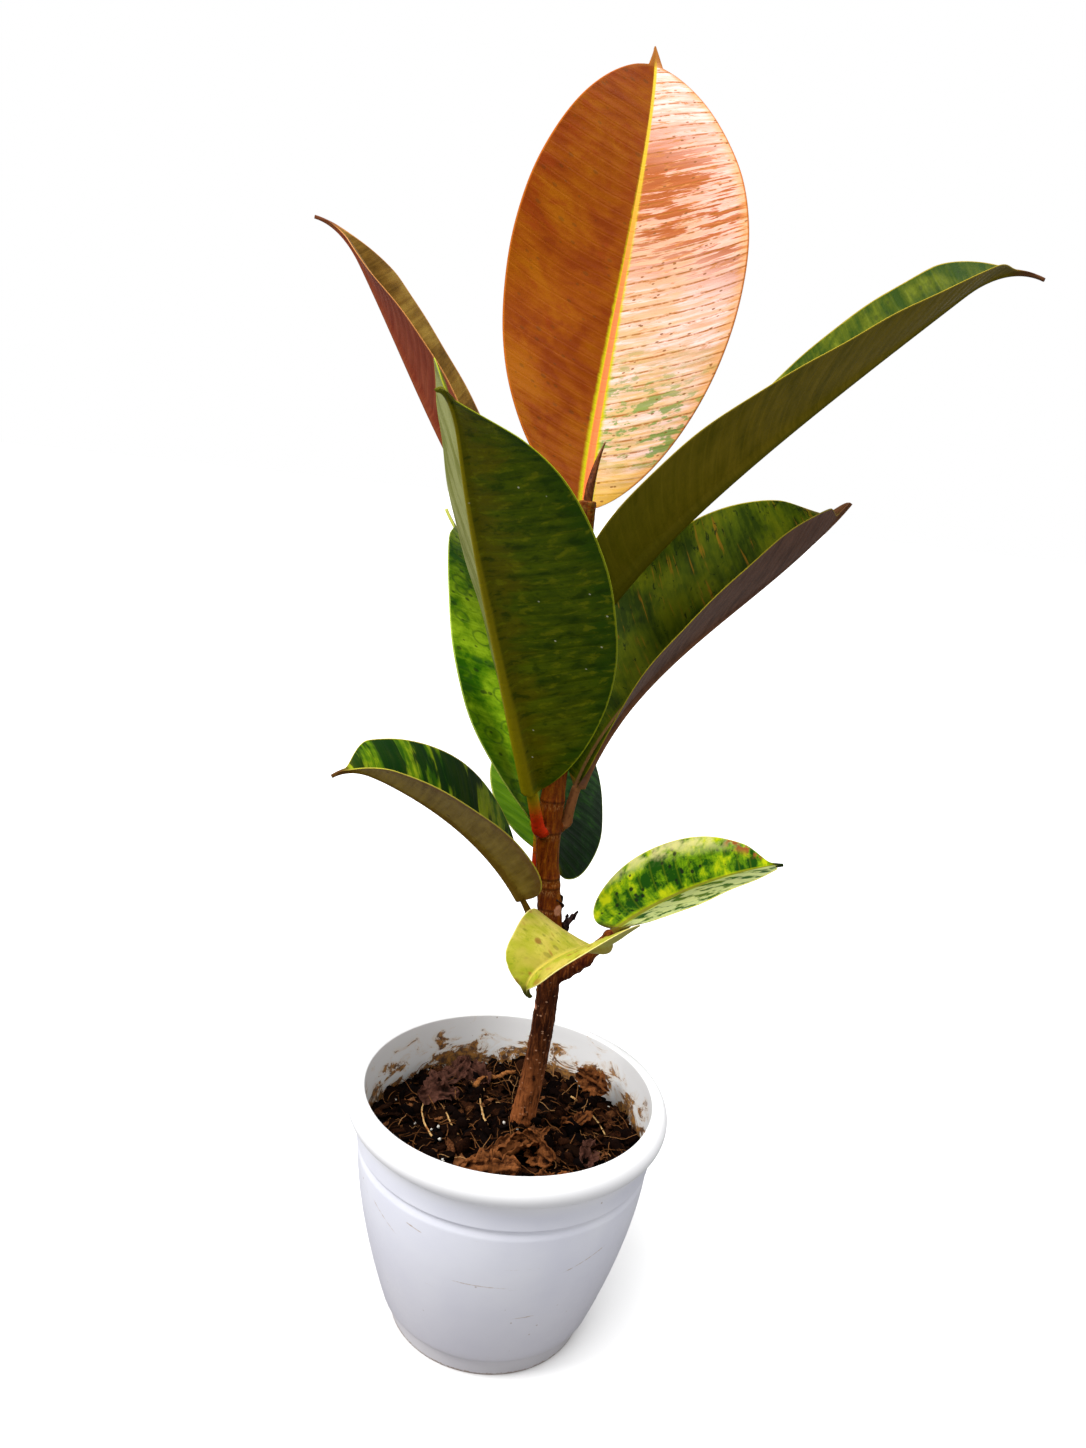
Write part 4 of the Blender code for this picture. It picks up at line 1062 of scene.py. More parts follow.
CRUMBS, GRAINS, FIBRES, FLAKES = 1150, 34, 330, 260
STEM_CLEARANCE = 5.0 * MM
CRUMB_MARGIN, FIBRE_MARGIN, FLAKE_MARGIN = 1.6 * MM, 2.0 * MM, 3.0 * MM
FIBRE_STEPS = 9
SOIL_RINGS, SOIL_SECTORS = 96, 260
SOIL_DEPTH = 12 * MM
DARK_SOIL = ((0.0, (0.002, 0.001, 0.001)), (0.50, (0.006, 0.002, 0.001)),
             (0.80, (0.035, 0.011, 0.004)), (1.0, (0.13, 0.05, 0.018)))
FIBRE = ((0.0, (0.05, 0.018, 0.006)), (0.5, (0.20, 0.08, 0.025)), (1.0, (0.50, 0.28, 0.11)))


def soil_reach(margin):
    """The radius of the soil's surface less a margin from the pot's wall."""
    return bowl_radius(SOIL_LEVEL) - POT_WALL - margin


def scattered(count, seed, margin):
    """Random places on the soil, clear of the stem and of the pot's wall."""
    random = np.random.default_rng(seed)
    limit = soil_reach(margin)
    places = []
    while len(places) < count:
        turn, share = random.uniform(0, 2 * pi), random.uniform(0, 1)
        x, y = (limit * np.sqrt(share) * f for f in (cos(turn), sin(turn)))
        if hypot(x - STEM_X, y - STEM_Y) > STEM_CLEARANCE:
            places.append((x, y))
    return places, random


def make_soil():
    """A crumbly surface down to the pot's wall, closed underneath."""
    rim = soil_reach(0.2 * MM)
    rings, sectors = SOIL_RINGS, SOIL_SECTORS
    radii = rim * (np.arange(1, rings + 1) / rings)
    turns = 2 * pi * np.arange(sectors) / sectors
    x = radii[:, None] * np.cos(turns)
    y = radii[:, None] * np.sin(turns)
    z = soil_height(x, y)
    points = np.stack([x, y, z], axis=-1).reshape(-1, 3)
    for point in points:
        spot = Vector(point) * 1000
        crumb = noise.fractal(spot * 0.35, 0.9, 2.0, 4)
        lump = noise.cell(spot * 0.55) - 0.5
        point[2] += (0.9 * crumb + 0.5 * lump) * MM
    edge_rows = np.arange(rings) >= rings - 3
    level = points.reshape(rings, sectors, 3)
    level[edge_rows, :, 2] -= (np.arange(1, 4) * 0.25 * MM)[:, None]
    bottom = SOIL_LEVEL - SOIL_DEPTH
    low_radius = bowl_radius(bottom) - POT_WALL - 0.4 * MM
    skirt = np.stack([low_radius * np.cos(turns), low_radius * np.sin(turns),
                      bottom + 0 * turns], axis=-1)
    points = np.concatenate([level.reshape(-1, 3), skirt, [(0, 0, soil_height(0, 0))],
                             [(0, 0, bottom)]])
    end = (rings + 1) * sectors
    faces = wall_faces(rings + 1, sectors) + fan_faces(end, 0, sectors)
    faces += fan_faces(end + 1, rings * sectors, sectors)
    tint = [0.35 + 0.5 * noise.noise(Vector(p) * 400) for p in points]
    mesh = mesh_from("soil_bed", points, faces, tint=tint)
    make_outward(mesh)
    add_piece("soil_bed", mesh, soil_skin("soil_skin", *DARK_SOIL), "soil")


def merged(name, shapes, tints):
    """One mesh from many small closed shapes, each (points, faces) with one tint."""
    points, faces, tint, offset = [], [], [], 0
    for (shape, sides), value in zip(shapes, tints):
        points.append(shape)
        faces += [tuple(i + offset for i in side) for side in sides]
        tint += [value] * len(shape)
        offset += len(shape)
    return mesh_from(name, np.concatenate(points), faces, tint=tint)


def ball(subdivisions):
    builder = bmesh.new()
    bmesh.ops.create_icosphere(builder, subdivisions=subdivisions, radius=1.0)
    points = np.array([v.co for v in builder.verts])
    faces = [tuple(v.index for v in face.verts) for face in builder.faces]
    builder.free()
    return points, faces


def random_turn(random):
    matrix, triangle = np.linalg.qr(random.normal(size=(3, 3)))
    return matrix * np.sign(np.diag(triangle))


def make_crumbs():
    """Loose lumps of potting mix, and a few white grains."""
    shape, faces = ball(2)
    places, random = scattered(CRUMBS, 11, CRUMB_MARGIN)
    shapes, tints = [], []
    for x, y in places:
        size = MM * (0.45 + 1.9 * random.uniform() ** 3)
        stretch = random.uniform(0.55, 1.5, 3)
        lumps = 1 + 0.28 * np.sin(shape @ random.normal(size=3) * 3.0 + random.uniform(0, 6))
        lumps += 0.16 * np.sin(shape @ random.normal(size=3) * 7.0)
        body = (shape * lumps[:, None] * stretch) @ random_turn(random) * size
        z = soil_height(x, y) + size * random.uniform(-0.3, 0.75)
        shapes.append((body + (x, y, z), faces))
        tints.append(float(np.clip(random.normal(0.38, 0.26), 0.0, 1.0)))
    add_piece("soil_crumbs", merged("soil_crumbs", shapes, tints),
              soil_skin("crumb_skin", *DARK_SOIL), None)
    places, random = scattered(GRAINS, 5, CRUMB_MARGIN)
    shapes = []
    grain, faces = ball(1)
    for x, y in places:
        size = MM * random.uniform(0.25, 0.7)
        body = grain * random.uniform(0.7, 1.3, (len(grain), 3)) * size
        shapes.append((body + (x, y, soil_height(x, y) + 0.9 * MM), faces))
    white = soil_skin("grain_skin", (0.0, (0.45, 0.42, 0.36)), (1.0, (0.80, 0.77, 0.70)))
    add_piece("soil_grains", merged("soil_grains", shapes, [0.7] * len(shapes)), white, None)


def strand(path, radius, sides):
    """A closed strand that narrows at both ends."""
    count = len(path)
    share = np.arange(count) / (count - 1)
    radii = radius * (0.25 + 0.75 * np.sin(pi * np.clip(share, 0.03, 0.97)) ** 0.5)
    return tube(path, radii, sides), ring_faces(count, sides)


def make_fibres():
    """Coir hairs and thin root ends that lie on and out of the soil."""
    limit = soil_reach(FIBRE_MARGIN)
    places, random = scattered(FIBRES, 23, FIBRE_MARGIN)
    shapes, tints = [], []
    for x, y in places:
        length = MM * random.uniform(3.0, 15.0)
        turn = random.uniform(0, 2 * pi)
        bend = random.normal(0, 0.9)
        tilt = random.normal(0.05, 0.22)
        path, here, heading = [], np.array((x, y)), turn
        for i in range(FIBRE_STEPS + 1):
            if hypot(*here) > limit:
                here = here * limit / hypot(*here)
            rise = abs(tilt) * length * (i / FIBRE_STEPS) ** 1.5
            z = soil_height(*here) + 0.9 * MM + rise + 0.4 * MM * sin(i * 1.3 + bend)
            path.append((here[0], here[1], z))
            heading += bend / FIBRE_STEPS + random.normal(0, 0.12)
            here = here + length / FIBRE_STEPS * np.array((cos(heading), sin(heading)))
        shapes.append(strand(path, MM * random.uniform(0.07, 0.2), 5))
        tints.append(float(np.clip(random.beta(1.3, 2.6), 0, 1)))
    add_piece("soil_fibres", merged("soil_fibres", shapes, tints),
              soil_skin("fibre_skin", *FIBRE, roughness=0.8), None)


def make_flakes():
    """Bark and leaf flakes, thin, bent and lying at all angles."""
    places, random = scattered(FLAKES, 31, FLAKE_MARGIN)
    rows, columns = 7, 5
    u, v = np.meshgrid(np.linspace(-1, 1, rows), np.linspace(-1, 1, columns), indexing="ij")
    sheet = []
    for i in range(rows - 1):
        for j in range(columns - 1):
            a = i * columns + j
            sheet.append((a, a + columns, a + columns + 1, a + 1))
    count = rows * columns
    edge = [(0, j) for j in range(columns)] + [(i, columns - 1) for i in range(1, rows)]
    edge += [(rows - 1, j) for j in range(columns - 2, -1, -1)]
    edge += [(i, 0) for i in range(rows - 2, 0, -1)]
    loop = [i * columns + j for i, j in edge]
    faces = sheet + [tuple(count + i for i in reversed(face)) for face in sheet]
    for a, b in zip(loop, loop[1:] + loop[:1]):
        faces.append((b, a, a + count, b + count))
    shapes, tints = [], []
    for x, y in places:
        length = MM * random.uniform(1.2, 4.6)
        width = length * random.uniform(0.25, 0.75)
        outline = 1 - 0.55 * np.abs(u) ** 2.2 + 0.14 * np.sin(5 * u + random.uniform(0, 6))
        curl = random.uniform(-0.9, 0.9)
        height = length * (curl * 0.35 * u ** 2 + 0.25 * curl * v ** 2)
        height = height + 0.12 * length * np.sin(4 * u + 3 * v + random.uniform(0, 6))
        face = np.stack([u * length, v * width * outline, height], axis=-1).reshape(-1, 3)
        thick = np.array((0, 0, MM * random.uniform(0.12, 0.3)))
        body = np.concatenate([face + thick / 2, face - thick / 2])
        tilt, turn = random.normal(0, 0.45), random.uniform(0, 2 * pi)
        lean = np.array(Matrix.Rotation(turn, 3, "Z") @ Matrix.Rotation(tilt, 3, "X"))
        body = body @ lean.T
        z = soil_height(x, y) + 0.8 * MM + 0.35 * abs(sin(tilt)) * width
        shapes.append((body + (x, y, z), faces))
        tints.append(float(np.clip(random.normal(0.5, 0.25), 0, 1)))
    colours = ((0.0, (0.002, 0.001, 0.001)), (0.60, (0.009, 0.003, 0.001)),
               (0.85, (0.050, 0.016, 0.006)), (1.0, (0.22, 0.085, 0.030)))
    add_piece("soil_flakes", merged("soil_flakes", shapes, tints),
              soil_skin("flake_skin", *colours, roughness=0.8), None)


# Bark -------------------------------------------------------------------------------------

NODE_HEIGHTS = (139, 146, 153, 156, 171, 181, 195, 212, 236, 247, 258)
BARK_VOXEL = 0.42 * MM
STEM_RINGS, STEM_SIDES, SPUR_SIDES = 360, 40, 24
WARTS = 46
# Fresh scars of dropped leaves: (height, bearing, radius)
LEAF_SCARS = ((146.0, -42.0, 1.7), (130.0, 140.0, 1.3), (104.0, 30.0, 1.2), (112.0, -160.0, 1.1))


def make_stem():
    """Stem and spur grown together, with node rings, leaf scars and warts."""
    bottom = SOIL_LEVEL - STEM_ROOT
    heights = [bottom + (STEM_TOP - bottom) * i / (STEM_RINGS - 1) for i in range(STEM_RINGS)]
    radii = []
    for height in heights:
        ring = sum(np.exp(-((height / MM - node) / 0.9) ** 2) for node in NODE_HEIGHTS)
        swell = sum(np.exp(-((height / MM - node + 1.5) / 4.0) ** 2) for node in NODE_HEIGHTS)
        radii.append(stem_radius(height) + (0.22 * min(ring, 1) + 0.18 * min(swell, 1)) * MM)
    body = (tube([stem_centre(height) for height in heights], radii, STEM_SIDES),
            ring_faces(STEM_RINGS, STEM_SIDES))
    start = stem_centre(SPUR_HEIGHT)
    middle = start.lerp(spur_end(), 0.55) + Vector((1.5 * MM, 0.0, -1.5 * MM))
    knots = [start, start.lerp(middle, 0.6), middle, spur_end()]
    path = []
    for a, b in zip(knots, knots[1:]):
        path += [a.lerp(b, i / 8) for i in range(8)]
    path.append(knots[-1])
    share = np.arange(len(path)) / (len(path) - 1)
    spur_radii = SPUR_RADIUS * (1.5 - 0.62 * share + 0.10 * np.sin(share * 31))
    spur = (tube(path, spur_radii, SPUR_SIDES), ring_faces(len(path), SPUR_SIDES))
    shape, faces = ball(3)
    lumps = []
    random = np.random.default_rng(3)
    for leaf in LEAVES:
        size = np.array((1.25, 1.25, 1.0)) * leaf.stalk * MM * 1.05
        place = on_bark(leaf.height * MM, leaf.bearing[0], 0.3 * MM)
        lumps.append((shape * size + np.array(place), faces))
    for i in range(WARTS):
        height = SOIL_LEVEL + MM * (1.0 + 60 * random.uniform() ** 1.6)
        turn = random.uniform(0, 2 * pi)
        place = on_bark(height, degrees(turn), 0.1 * MM)
        size = MM * random.uniform(0.35, 0.75)
        lumps.append((shape * size * (1.0, 1.0, 0.8) + np.array(place), faces))
    lumps.append((shape * SPUR_RADIUS + np.array(spur_end()), faces))
    mesh = merged("stem_bark", [body, spur] + lumps, [0.0] * (2 + len(lumps)))
    make_outward(mesh)
    stem = add_piece("stem_bark", mesh, bark(), "stem")
    remesh = stem.modifiers.new("Grow", "REMESH")
    remesh.mode = "VOXEL"
    remesh.voxel_size = BARK_VOXEL
    smooth = stem.modifiers.new("Ease", "SMOOTH")
    smooth.factor = 0.5
    smooth.iterations = 3
    bake_modifiers(stem)
    mesh = stem.data
    points = np.array([v.co for v in mesh.vertices])
    normals = np.array([v.normal for v in mesh.vertices])
    for point, normal in zip(points, normals):
        spot = Vector((point[0], point[1], point[2] * 0.45)) * 900
        rough = 1 - 0.75 * smooth_step((point[2] - 0.125) / 0.05)
        point += normal * MM * rough * 0.22 * noise.fractal(spot, 0.8, 2.1, 4)
    mesh.vertices.foreach_set("co", points.ravel())
    mesh.update()


def bark():
    """Rough brown bark with pale lenticels below; smooth red-brown skin above."""
    paint = Paint("bark_skin", 0.7, 0.06)
    x, y, z = paint.split(paint.place)
    long = paint.clouds(paint.join(x, y, z * 0.16), 1.1, 5.0, 0.65, 0.3)
    cross = paint.clouds(paint.join(x, y, z * 2.2), 0.6, 4.0, 0.6)
    fine = paint.clouds(paint.place, 2.2, 4.0, 0.6)
    low = long.ramp((0.34, (0.01, 0.002, 0.0005)), (0.52, (0.045, 0.01, 0.002)),
                    (0.7, (0.16, 0.05, 0.014)))
    high = long.ramp((0.34, (0.05, 0.005, 0.0006)), (0.52, (0.13, 0.026, 0.001)),
                     (0.7, (0.22, 0.07, 0.003)))
    climb = (z + fine * 10.0).rise(118.0, 150.0)
    colour = paint.mix(climb, low, high)
    green = z.rise(165.0, 250.0, 0.45) * cross.rise(0.4, 0.65)
    colour = paint.mix(green, colour, (0.16, 0.11, 0.02))
    pores = paint.cells(paint.join(x, y, z * 1.4), 0.42)
    dots = pores.fall(0.1, 0.22, 0.8) * z.fall(110.0, 150.0)
    colour = paint.mix(dots, colour, (0.36, 0.19, 0.11))
    hair = paint.clouds(paint.join(x, y, z * 0.3), 2.6, 3.0, 0.6)
    for level in NODE_HEIGHTS:
        off = z + hair * 1.2 - (level + 0.6)
        ring = abs(off).fall(0.1, 0.6, 0.55)
        colour = paint.mix(ring, colour, (0.018, 0.004, 0.001))
        band = off.rise(-3.0, -0.8) * off.fall(-0.8, 0.0)
        band *= hair.rise(0.5, 0.6, 0.75)
        colour = paint.mix(band, colour, (0.34, 0.15, 0.05))
    soil = (z + fine * 7.0).fall(72.0, 108.0, 0.8)
    colour = paint.mix(soil * long.rise(0.3, 0.55), colour, (0.34, 0.105, 0.03))
    for level, bearing, size in LEAF_SCARS:
        ragged = paint.distance(on_bark(level * MM, bearing, 0.0) / MM) + fine * 1.4
        colour = paint.mix(ragged.fall(size + 0.4, size + 0.9, 0.9), colour, (0.4, 0.17, 0.1))
    paint.colour(colour)
    paint.rough(climb * -0.28 + fine.fade(0.3, 0.7, 0.68, 0.85))
    height = long * 0.8 + cross * 0.5 + fine * 0.4
    paint.relief(height, 0.0007, 0.6)
    return paint.material


def make_bud():
    """A slim rolled sheath, twisted to a point."""
    foot = stem_centre(STEM_TOP) + Vector((0.0, -0.4 * MM, -1.0 * MM))
    count, sides = BUD_RINGS, BUD_SIDES
    turns = 2 * pi * np.arange(sides) / sides
    rings = []
    for i in range(count):
        share = i / (count - 1)
        radius = BUD_RADIUS * (1 - 0.86 * share ** 1.4) * (1 + 0.15 * sin(pi * share))
        centre = np.array(foot) + np.array((BUD_LEAN * share, 0.0, 1.0)) * BUD_HEIGHT * share
        seam = 1 - 0.18 * np.exp(-((np.mod(turns - 2.6 * share, 2 * pi) - pi) / 0.35) ** 2)
        ring = np.stack([radius * seam * np.cos(turns), radius * seam * np.sin(turns),
                         0 * turns], axis=-1)
        rings.append(ring + centre)
    mesh = mesh_from("bud_sheath", np.concatenate(rings), ring_faces(count, sides))
    make_outward(mesh)
    paint = Paint("bud_skin", 0.42, 0.12)
    long = paint.clouds(paint.place, 0.8, 4.0)
    z = paint.split(paint.place)[2]
    colour = long.ramp((0.35, (0.045, 0.010, 0.004)), (0.65, (0.16, 0.045, 0.012)))
    colour = paint.mix(z.rise(284.0, 290.0, 0.6), colour, (0.20, 0.09, 0.03))
    paint.colour(colour)
    paint.relief(long, 0.0002, 0.6)
    add_piece("bud_sheath", mesh, paint.material, "terminal_bud")


# Dry pieces -------------------------------------------------------------------------------

Litter = namedtuple("Litter", "node x y length width bearing curl tilt lift", defaults=(0, 0))
CREASE_DEPTH = 0.9
CREASE_ALONG, CREASE_ACROSS = 0.16, 0.30     # creases for each millimetre
# How strongly the creases are painted: painted shade in their valleys, painted light on their
# ridges
FOLD_PAINTED_SHADE = 0.22
DEAD_LEAF_THICKNESS = 0.22 * MM
DEAD_LEAVES = (
    Litter("dead_leaf_curled", 1.0, -17.5, 38, 11, 46, 150),
    Litter("dead_leaf_chip_right", 24.0, 7.0, 14, 7, 42, 60),
    Litter("dead_leaf_chip_front", 16.0, -24.0, 12, 7, 20, 70),
    Litter("dead_leaf_flat", -22.0, 26.0, 26, 11, 62, 50),
)
# Torn parts and scraps that lie against the dead leaves: (skin, piece)
SCRAPS = (
    ("orange", Litter("dead_leaf_roll", -5.0, -19.0, 32, 13, 50, 210, 82, 0.5)),
    ("orange", Litter("dead_leaf_flap", -3.0, -27.0, 18, 10, 12, -60, 50, 0.2)),
    ("orange", Litter("dead_leaf_lobe", 12.5, -14.0, 15, 13, -58, 150, 70, 0.5)),
    ("mauve", Litter("dead_leaf_scrap_left", -24.0, 14.0, 15, 10, 20, 100, 25, 0.5)),
    ("mauve", Litter("dead_leaf_scrap_back", -12.0, 31.0, 17, 10, 130, 90, -20, 0.5)),
    ("mauve", Litter("dead_leaf_scrap_right", 27.0, -10.0, 14, 9, 75, 120, 30, 0.3)),
    ("mauve", Litter("dead_leaf_scrap_front", 6.0, -33.0, 13, 8, 160, 80, -15, 0.2)),
    ("orange", Litter("dead_leaf_scrap_wall", 30.0, 24.0, 15, 9, -45, 60, 65, 4.0)),
)
Straw = namedtuple("Straw", "node x y length radius bearing bow")
STRAWS = (
    Straw("straw_left", -25.5, 3.0, 22, 0.55, 105, 2.0),
    Straw("straw_mid_left", -18.0, 4.0, 20, 0.5, 108, 1.5),
    Straw("straw_near_stem", -7.5, 9.0, 21, 0.6, 100, 1.0),
    Straw("straw_right", 28.0, 14.5, 22, 0.6, -58, 1.5),
    Straw("root_thick", -5.0, 29.0, 18, 1.3, 40, 2.0),
    Straw("root_wiry", 28.0, 31.0, 12, 0.8, -28, 2.5),
)


def dry_skin(name, dark, middle, pale):
    """Dead leaf: blotched browns with paler veins and a papery grain, with painted shade in its
    crease valleys and painted light on the ridges.
    """
    paint = Paint(name, 0.78, 0.04)
    along, across = paint.read("along"), paint.read("across")
    blotch = paint.clouds(paint.place, 0.32, 5.0, 0.65, 0.5)
    fine = paint.clouds(paint.place, 2.4, 4.0, 0.6)
    tone = blotch + (fine - 0.5) * 0.2
    # Painted shade and light: crease valleys darker, ridges paler.
    tone += paint.read("fold") * FOLD_PAINTED_SHADE
    colour = tone.ramp((0.38, dark), (0.56, middle), (0.8, pale))
    slant = along * 15.0 - abs(across) * 4.0
    vein = paint.sum("PINGPONG", slant, 0.5).fall(0.0, 0.1, 0.5)
    rib = abs(across).fall(0.03, 0.09, 0.8)
    edge = (abs(across) + blotch * 0.25).rise(0.42, 0.58, 0.7)
    colour = paint.mix(edge, colour, pale)
    colour = paint.mix(vein * 0.5, colour, pale)
    colour = paint.mix(rib, colour, pale)
    paint.colour(colour)
    paint.relief(fine + vein * 1.2, 0.0006, 0.8)
    return paint.material


def make_dead_leaf(litter, material, loose=False):
    """A dry leaf: wrinkled, rolled about its length, with torn wavy edges."""
    rows, columns = 70, 26
    width = litter.width * MM
    length = litter.length * MM
    curl = radians(litter.curl)
    seed = litter.x * 0.37
    along, across = np.meshgrid(np.linspace(-0.5, 0.5, rows), np.linspace(-0.5, 0.5, columns),
                                indexing="ij")
    outline = np.maximum(1 - (2 * along) ** 2, 0.06) ** 0.6
    ragged = 1 + 0.13 * np.sin(along * 23 + seed) + 0.09 * np.sin(along * 61 + 3 * seed)
    local = across * outline * ragged
    radius = width / curl
    angle = local * curl
    wave = 0.8 * MM * np.sin(along * 9 + litter.x) + 0.5 * MM * np.sin(across * 8 + along * 5)
    lift = radius * (1 - np.cos(angle)) + length * 0.12 * (2 * along) ** 2 / 2 + wave
    place = np.stack([along * length, radius * np.sin(angle), lift], axis=-1)
    normal = np.stack([0 * angle, -np.sin(angle), np.cos(angle)], axis=-1)
    crease = np.zeros(along.shape)
    for i in range(rows):
        for j in range(columns):
            spot = Vector((along[i, j] * litter.length * CREASE_ALONG,
                           across[i, j] * litter.width * CREASE_ACROSS, seed))
            crease[i, j] = 1 - 2 * abs(noise.fractal(spot, 0.9, 2.1, 3))
    pleat = 0.25 * np.abs(np.sin(along * 24 - np.abs(across) * 5)) * (np.abs(across) > 0.02)
    place = place + normal * ((CREASE_DEPTH * crease + pleat) * MM)[..., None]
    skin = normal * DEAD_LEAF_THICKNESS / 2
    rings = np.concatenate([place + skin, (place - skin)[:, ::-1]], axis=1)
    turn = (Matrix.Rotation(radians(litter.bearing), 3, "Z")
            @ Matrix.Rotation(radians(litter.tilt), 3, "X"))
    rings = rings.reshape(-1, 3) @ np.array(turn).T
    base = soil_height(litter.x * MM, litter.y * MM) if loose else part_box(litter.node)[0][2]
    rings += (litter.x * MM, litter.y * MM, 0.0)
    rings[:, 2] += base + (litter.lift + 0.3) * MM - rings[:, 2].min()

    mesh = mesh_from(litter.node + "_blade", rings, ring_faces(rows, 2 * columns),
                     along=both(along), across=both(across), fold=both(crease))
    make_outward(mesh)
    return add_piece(litter.node + "_blade", mesh, material, None if loose else litter.node)


def straw_skin(name, pale, dark):
    paint = Paint(name, 0.62, 0.08)
    long = paint.clouds(paint.place, 0.5, 4.0, 0.6)
    fine = paint.clouds(paint.place, 3.0, 3.0)
    colour = paint.mix(long.rise(0.42, 0.68), pale, dark)
    paint.colour(paint.mix(fine.rise(0.45, 0.7, 0.35), colour, dark))
    paint.relief(long + fine, 0.0003, 0.6)
    return paint.material


def make_straw(straw, material, kinks, slim):
    """A dry stalk or root with small kinks and knots along it."""
    count, sides = 46, 14
    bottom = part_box(straw.node)[0][2]
    bearing = radians(straw.bearing)
    path = []
    random = np.random.default_rng(abs(int(straw.x * 10)))
    wander = np.cumsum(random.normal(0, kinks, count)) * MM * 0.12
    for i in range(count):
        share = i / (count - 1)
        along = straw.length * MM * (share - 0.5)
        bow = straw.bow * MM * (1 - (2 * share - 1) ** 2) + wander[i] - wander[-1] * share
        x = straw.x * MM + along * cos(bearing) - bow * sin(bearing)
        y = straw.y * MM + along * sin(bearing) + bow * cos(bearing)
        path.append((x, y, 0.0))
    path = np.array(path)
    ahead = soil_height(*path[-5][:2])
    behind = soil_height(*path[4][:2])
    share = np.arange(count) / (count - 1)
    path[:, 2] = behind + (ahead - behind) * share + 0.4 * MM * np.sin(share * pi)
    knots = 1 + 0.16 * np.exp(-((np.mod(share * 5.3, 1) - 0.5) / 0.07) ** 2)
    radii = straw.radius * slim * MM * (1 - 0.35 * share) * knots
    points = tube(path, radii, sides, 0.8)
    points[:, 2] += bottom + 0.35 * MM - points[:, 2].min()
    mesh = mesh_from(straw.node + "_stalk", points, ring_faces(count, sides))
    make_outward(mesh)
    return add_piece(straw.node + "_stalk", mesh, material, straw.node)


def make_stipules():
    """Black shrivelled bud scales that cling to the right of the stem."""
    paint = Paint("stipule_skin", 0.7, 0.08)
    fine = paint.clouds(paint.place, 1.2, 5.0, 0.6)
    paint.colour(fine.ramp((0.35, (0.006, 0.003, 0.004)), (0.60, (0.030, 0.014, 0.012)),
                           (0.78, (0.13, 0.07, 0.055))))
    paint.relief(fine, 0.0006, 0.9)
    for index, height in enumerate(STIPULE_HEIGHTS):
        node = "dry_stipule_%d" % (index + 1)
        lean = radians(28 - 46 * index)
        foot = stem_centre(height) + Vector((stem_radius(height) - 0.4 * MM, 0.0, 0.0))
        rows, columns = 40, 24
        shapes = []
        for strip, (spread, start_y, long) in enumerate(((-0.15, 0.0, 0.9), (-0.35, -1.2, 0.75),
                                                         (-0.6, 1.2, 0.6))):
            rings = []
            for i in range(rows):
                share = i / (rows - 1)
                middle = foot + Vector((sin(lean + spread), 0.25 * spread, cos(lean + spread))) * (
                    STIPULE_LENGTH * long * share)
                middle += Vector(((1.2 + 0.5 * sin(7 * share + strip)) * share + 0.5,
                                  start_y + 0.7 * sin(6 * share + strip), 0.0)) * MM
                half = STIPULE_WIDTH / 2 * long * (1 - share ** 2) + 0.15 * MM
                turns = 2 * pi * np.arange(columns) / columns
                wide = half * np.cos(turns)
                thick = 0.16 * MM * np.sin(turns)
                thick += 0.42 * MM * np.sin(4.5 * wide / half + 5 * share + strip)
                twist = 1.6 * share + 0.8 * strip + 0.3
                x = thick * cos(twist) + wide * sin(twist)
                y = wide * cos(twist) - thick * sin(twist)
                z = 0.5 * MM * np.sin(3 * wide / half + 11 * share)
                rings.append(np.array(middle) + np.stack([x, y, z], axis=-1))
            shapes.append((np.concatenate(rings), ring_faces(rows, columns)))
        mesh = merged(node + "_scale", shapes, [0.0] * len(shapes))
        make_outward(mesh)
        add_piece(node + "_scale", mesh, paint.material, node)


def make_litter():
    orange = dry_skin("dead_leaf_skin", (0.006, 0.0015, 0.0005), (0.040, 0.011, 0.003),
                      (0.25, 0.085, 0.025))
    mauve = dry_skin("old_dead_leaf_skin", (0.012, 0.005, 0.003), (0.040, 0.014, 0.009),
                     (0.11, 0.045, 0.030))
    for litter in DEAD_LEAVES:
        make_dead_leaf(litter, mauve if litter.node == "dead_leaf_flat" else orange)
    for skin, scrap in SCRAPS:
        make_dead_leaf(scrap, mauve if skin == "mauve" else orange, loose=True)
    cream = straw_skin("straw_skin", (0.60, 0.38, 0.15), (0.30, 0.12, 0.035))
    root = straw_skin("root_skin", (0.34, 0.13, 0.035), (0.13, 0.04, 0.01))
    for straw in STRAWS:
        if straw.node.startswith("root"):
            make_straw(straw, root, kinks=2.0, slim=0.8)
        else:
            make_straw(straw, cream, kinks=0.5, slim=0.6)


# Stage ------------------------------------------------------------------------------------

CAMERA_PLACE = Vector((-2.5, -322.4, 276.5)) * MM
CAMERA_PITCH = radians(12.6)
CAMERA_ROLL = radians(-6.5)
CAMERA_LENS = 27.0
SENSOR_HEIGHT = 36.0
FLOOR_PALE = (0.86, 0.86, 0.86)
FLOOR_BOUNCE = (0.20, 0.20, 0.21)    # how much of the light the floor sends back up
WHITE = (1.0, 1.0, 1.0)
SKY_LIGHT, SKY_SEEN = 0.82, 1.0


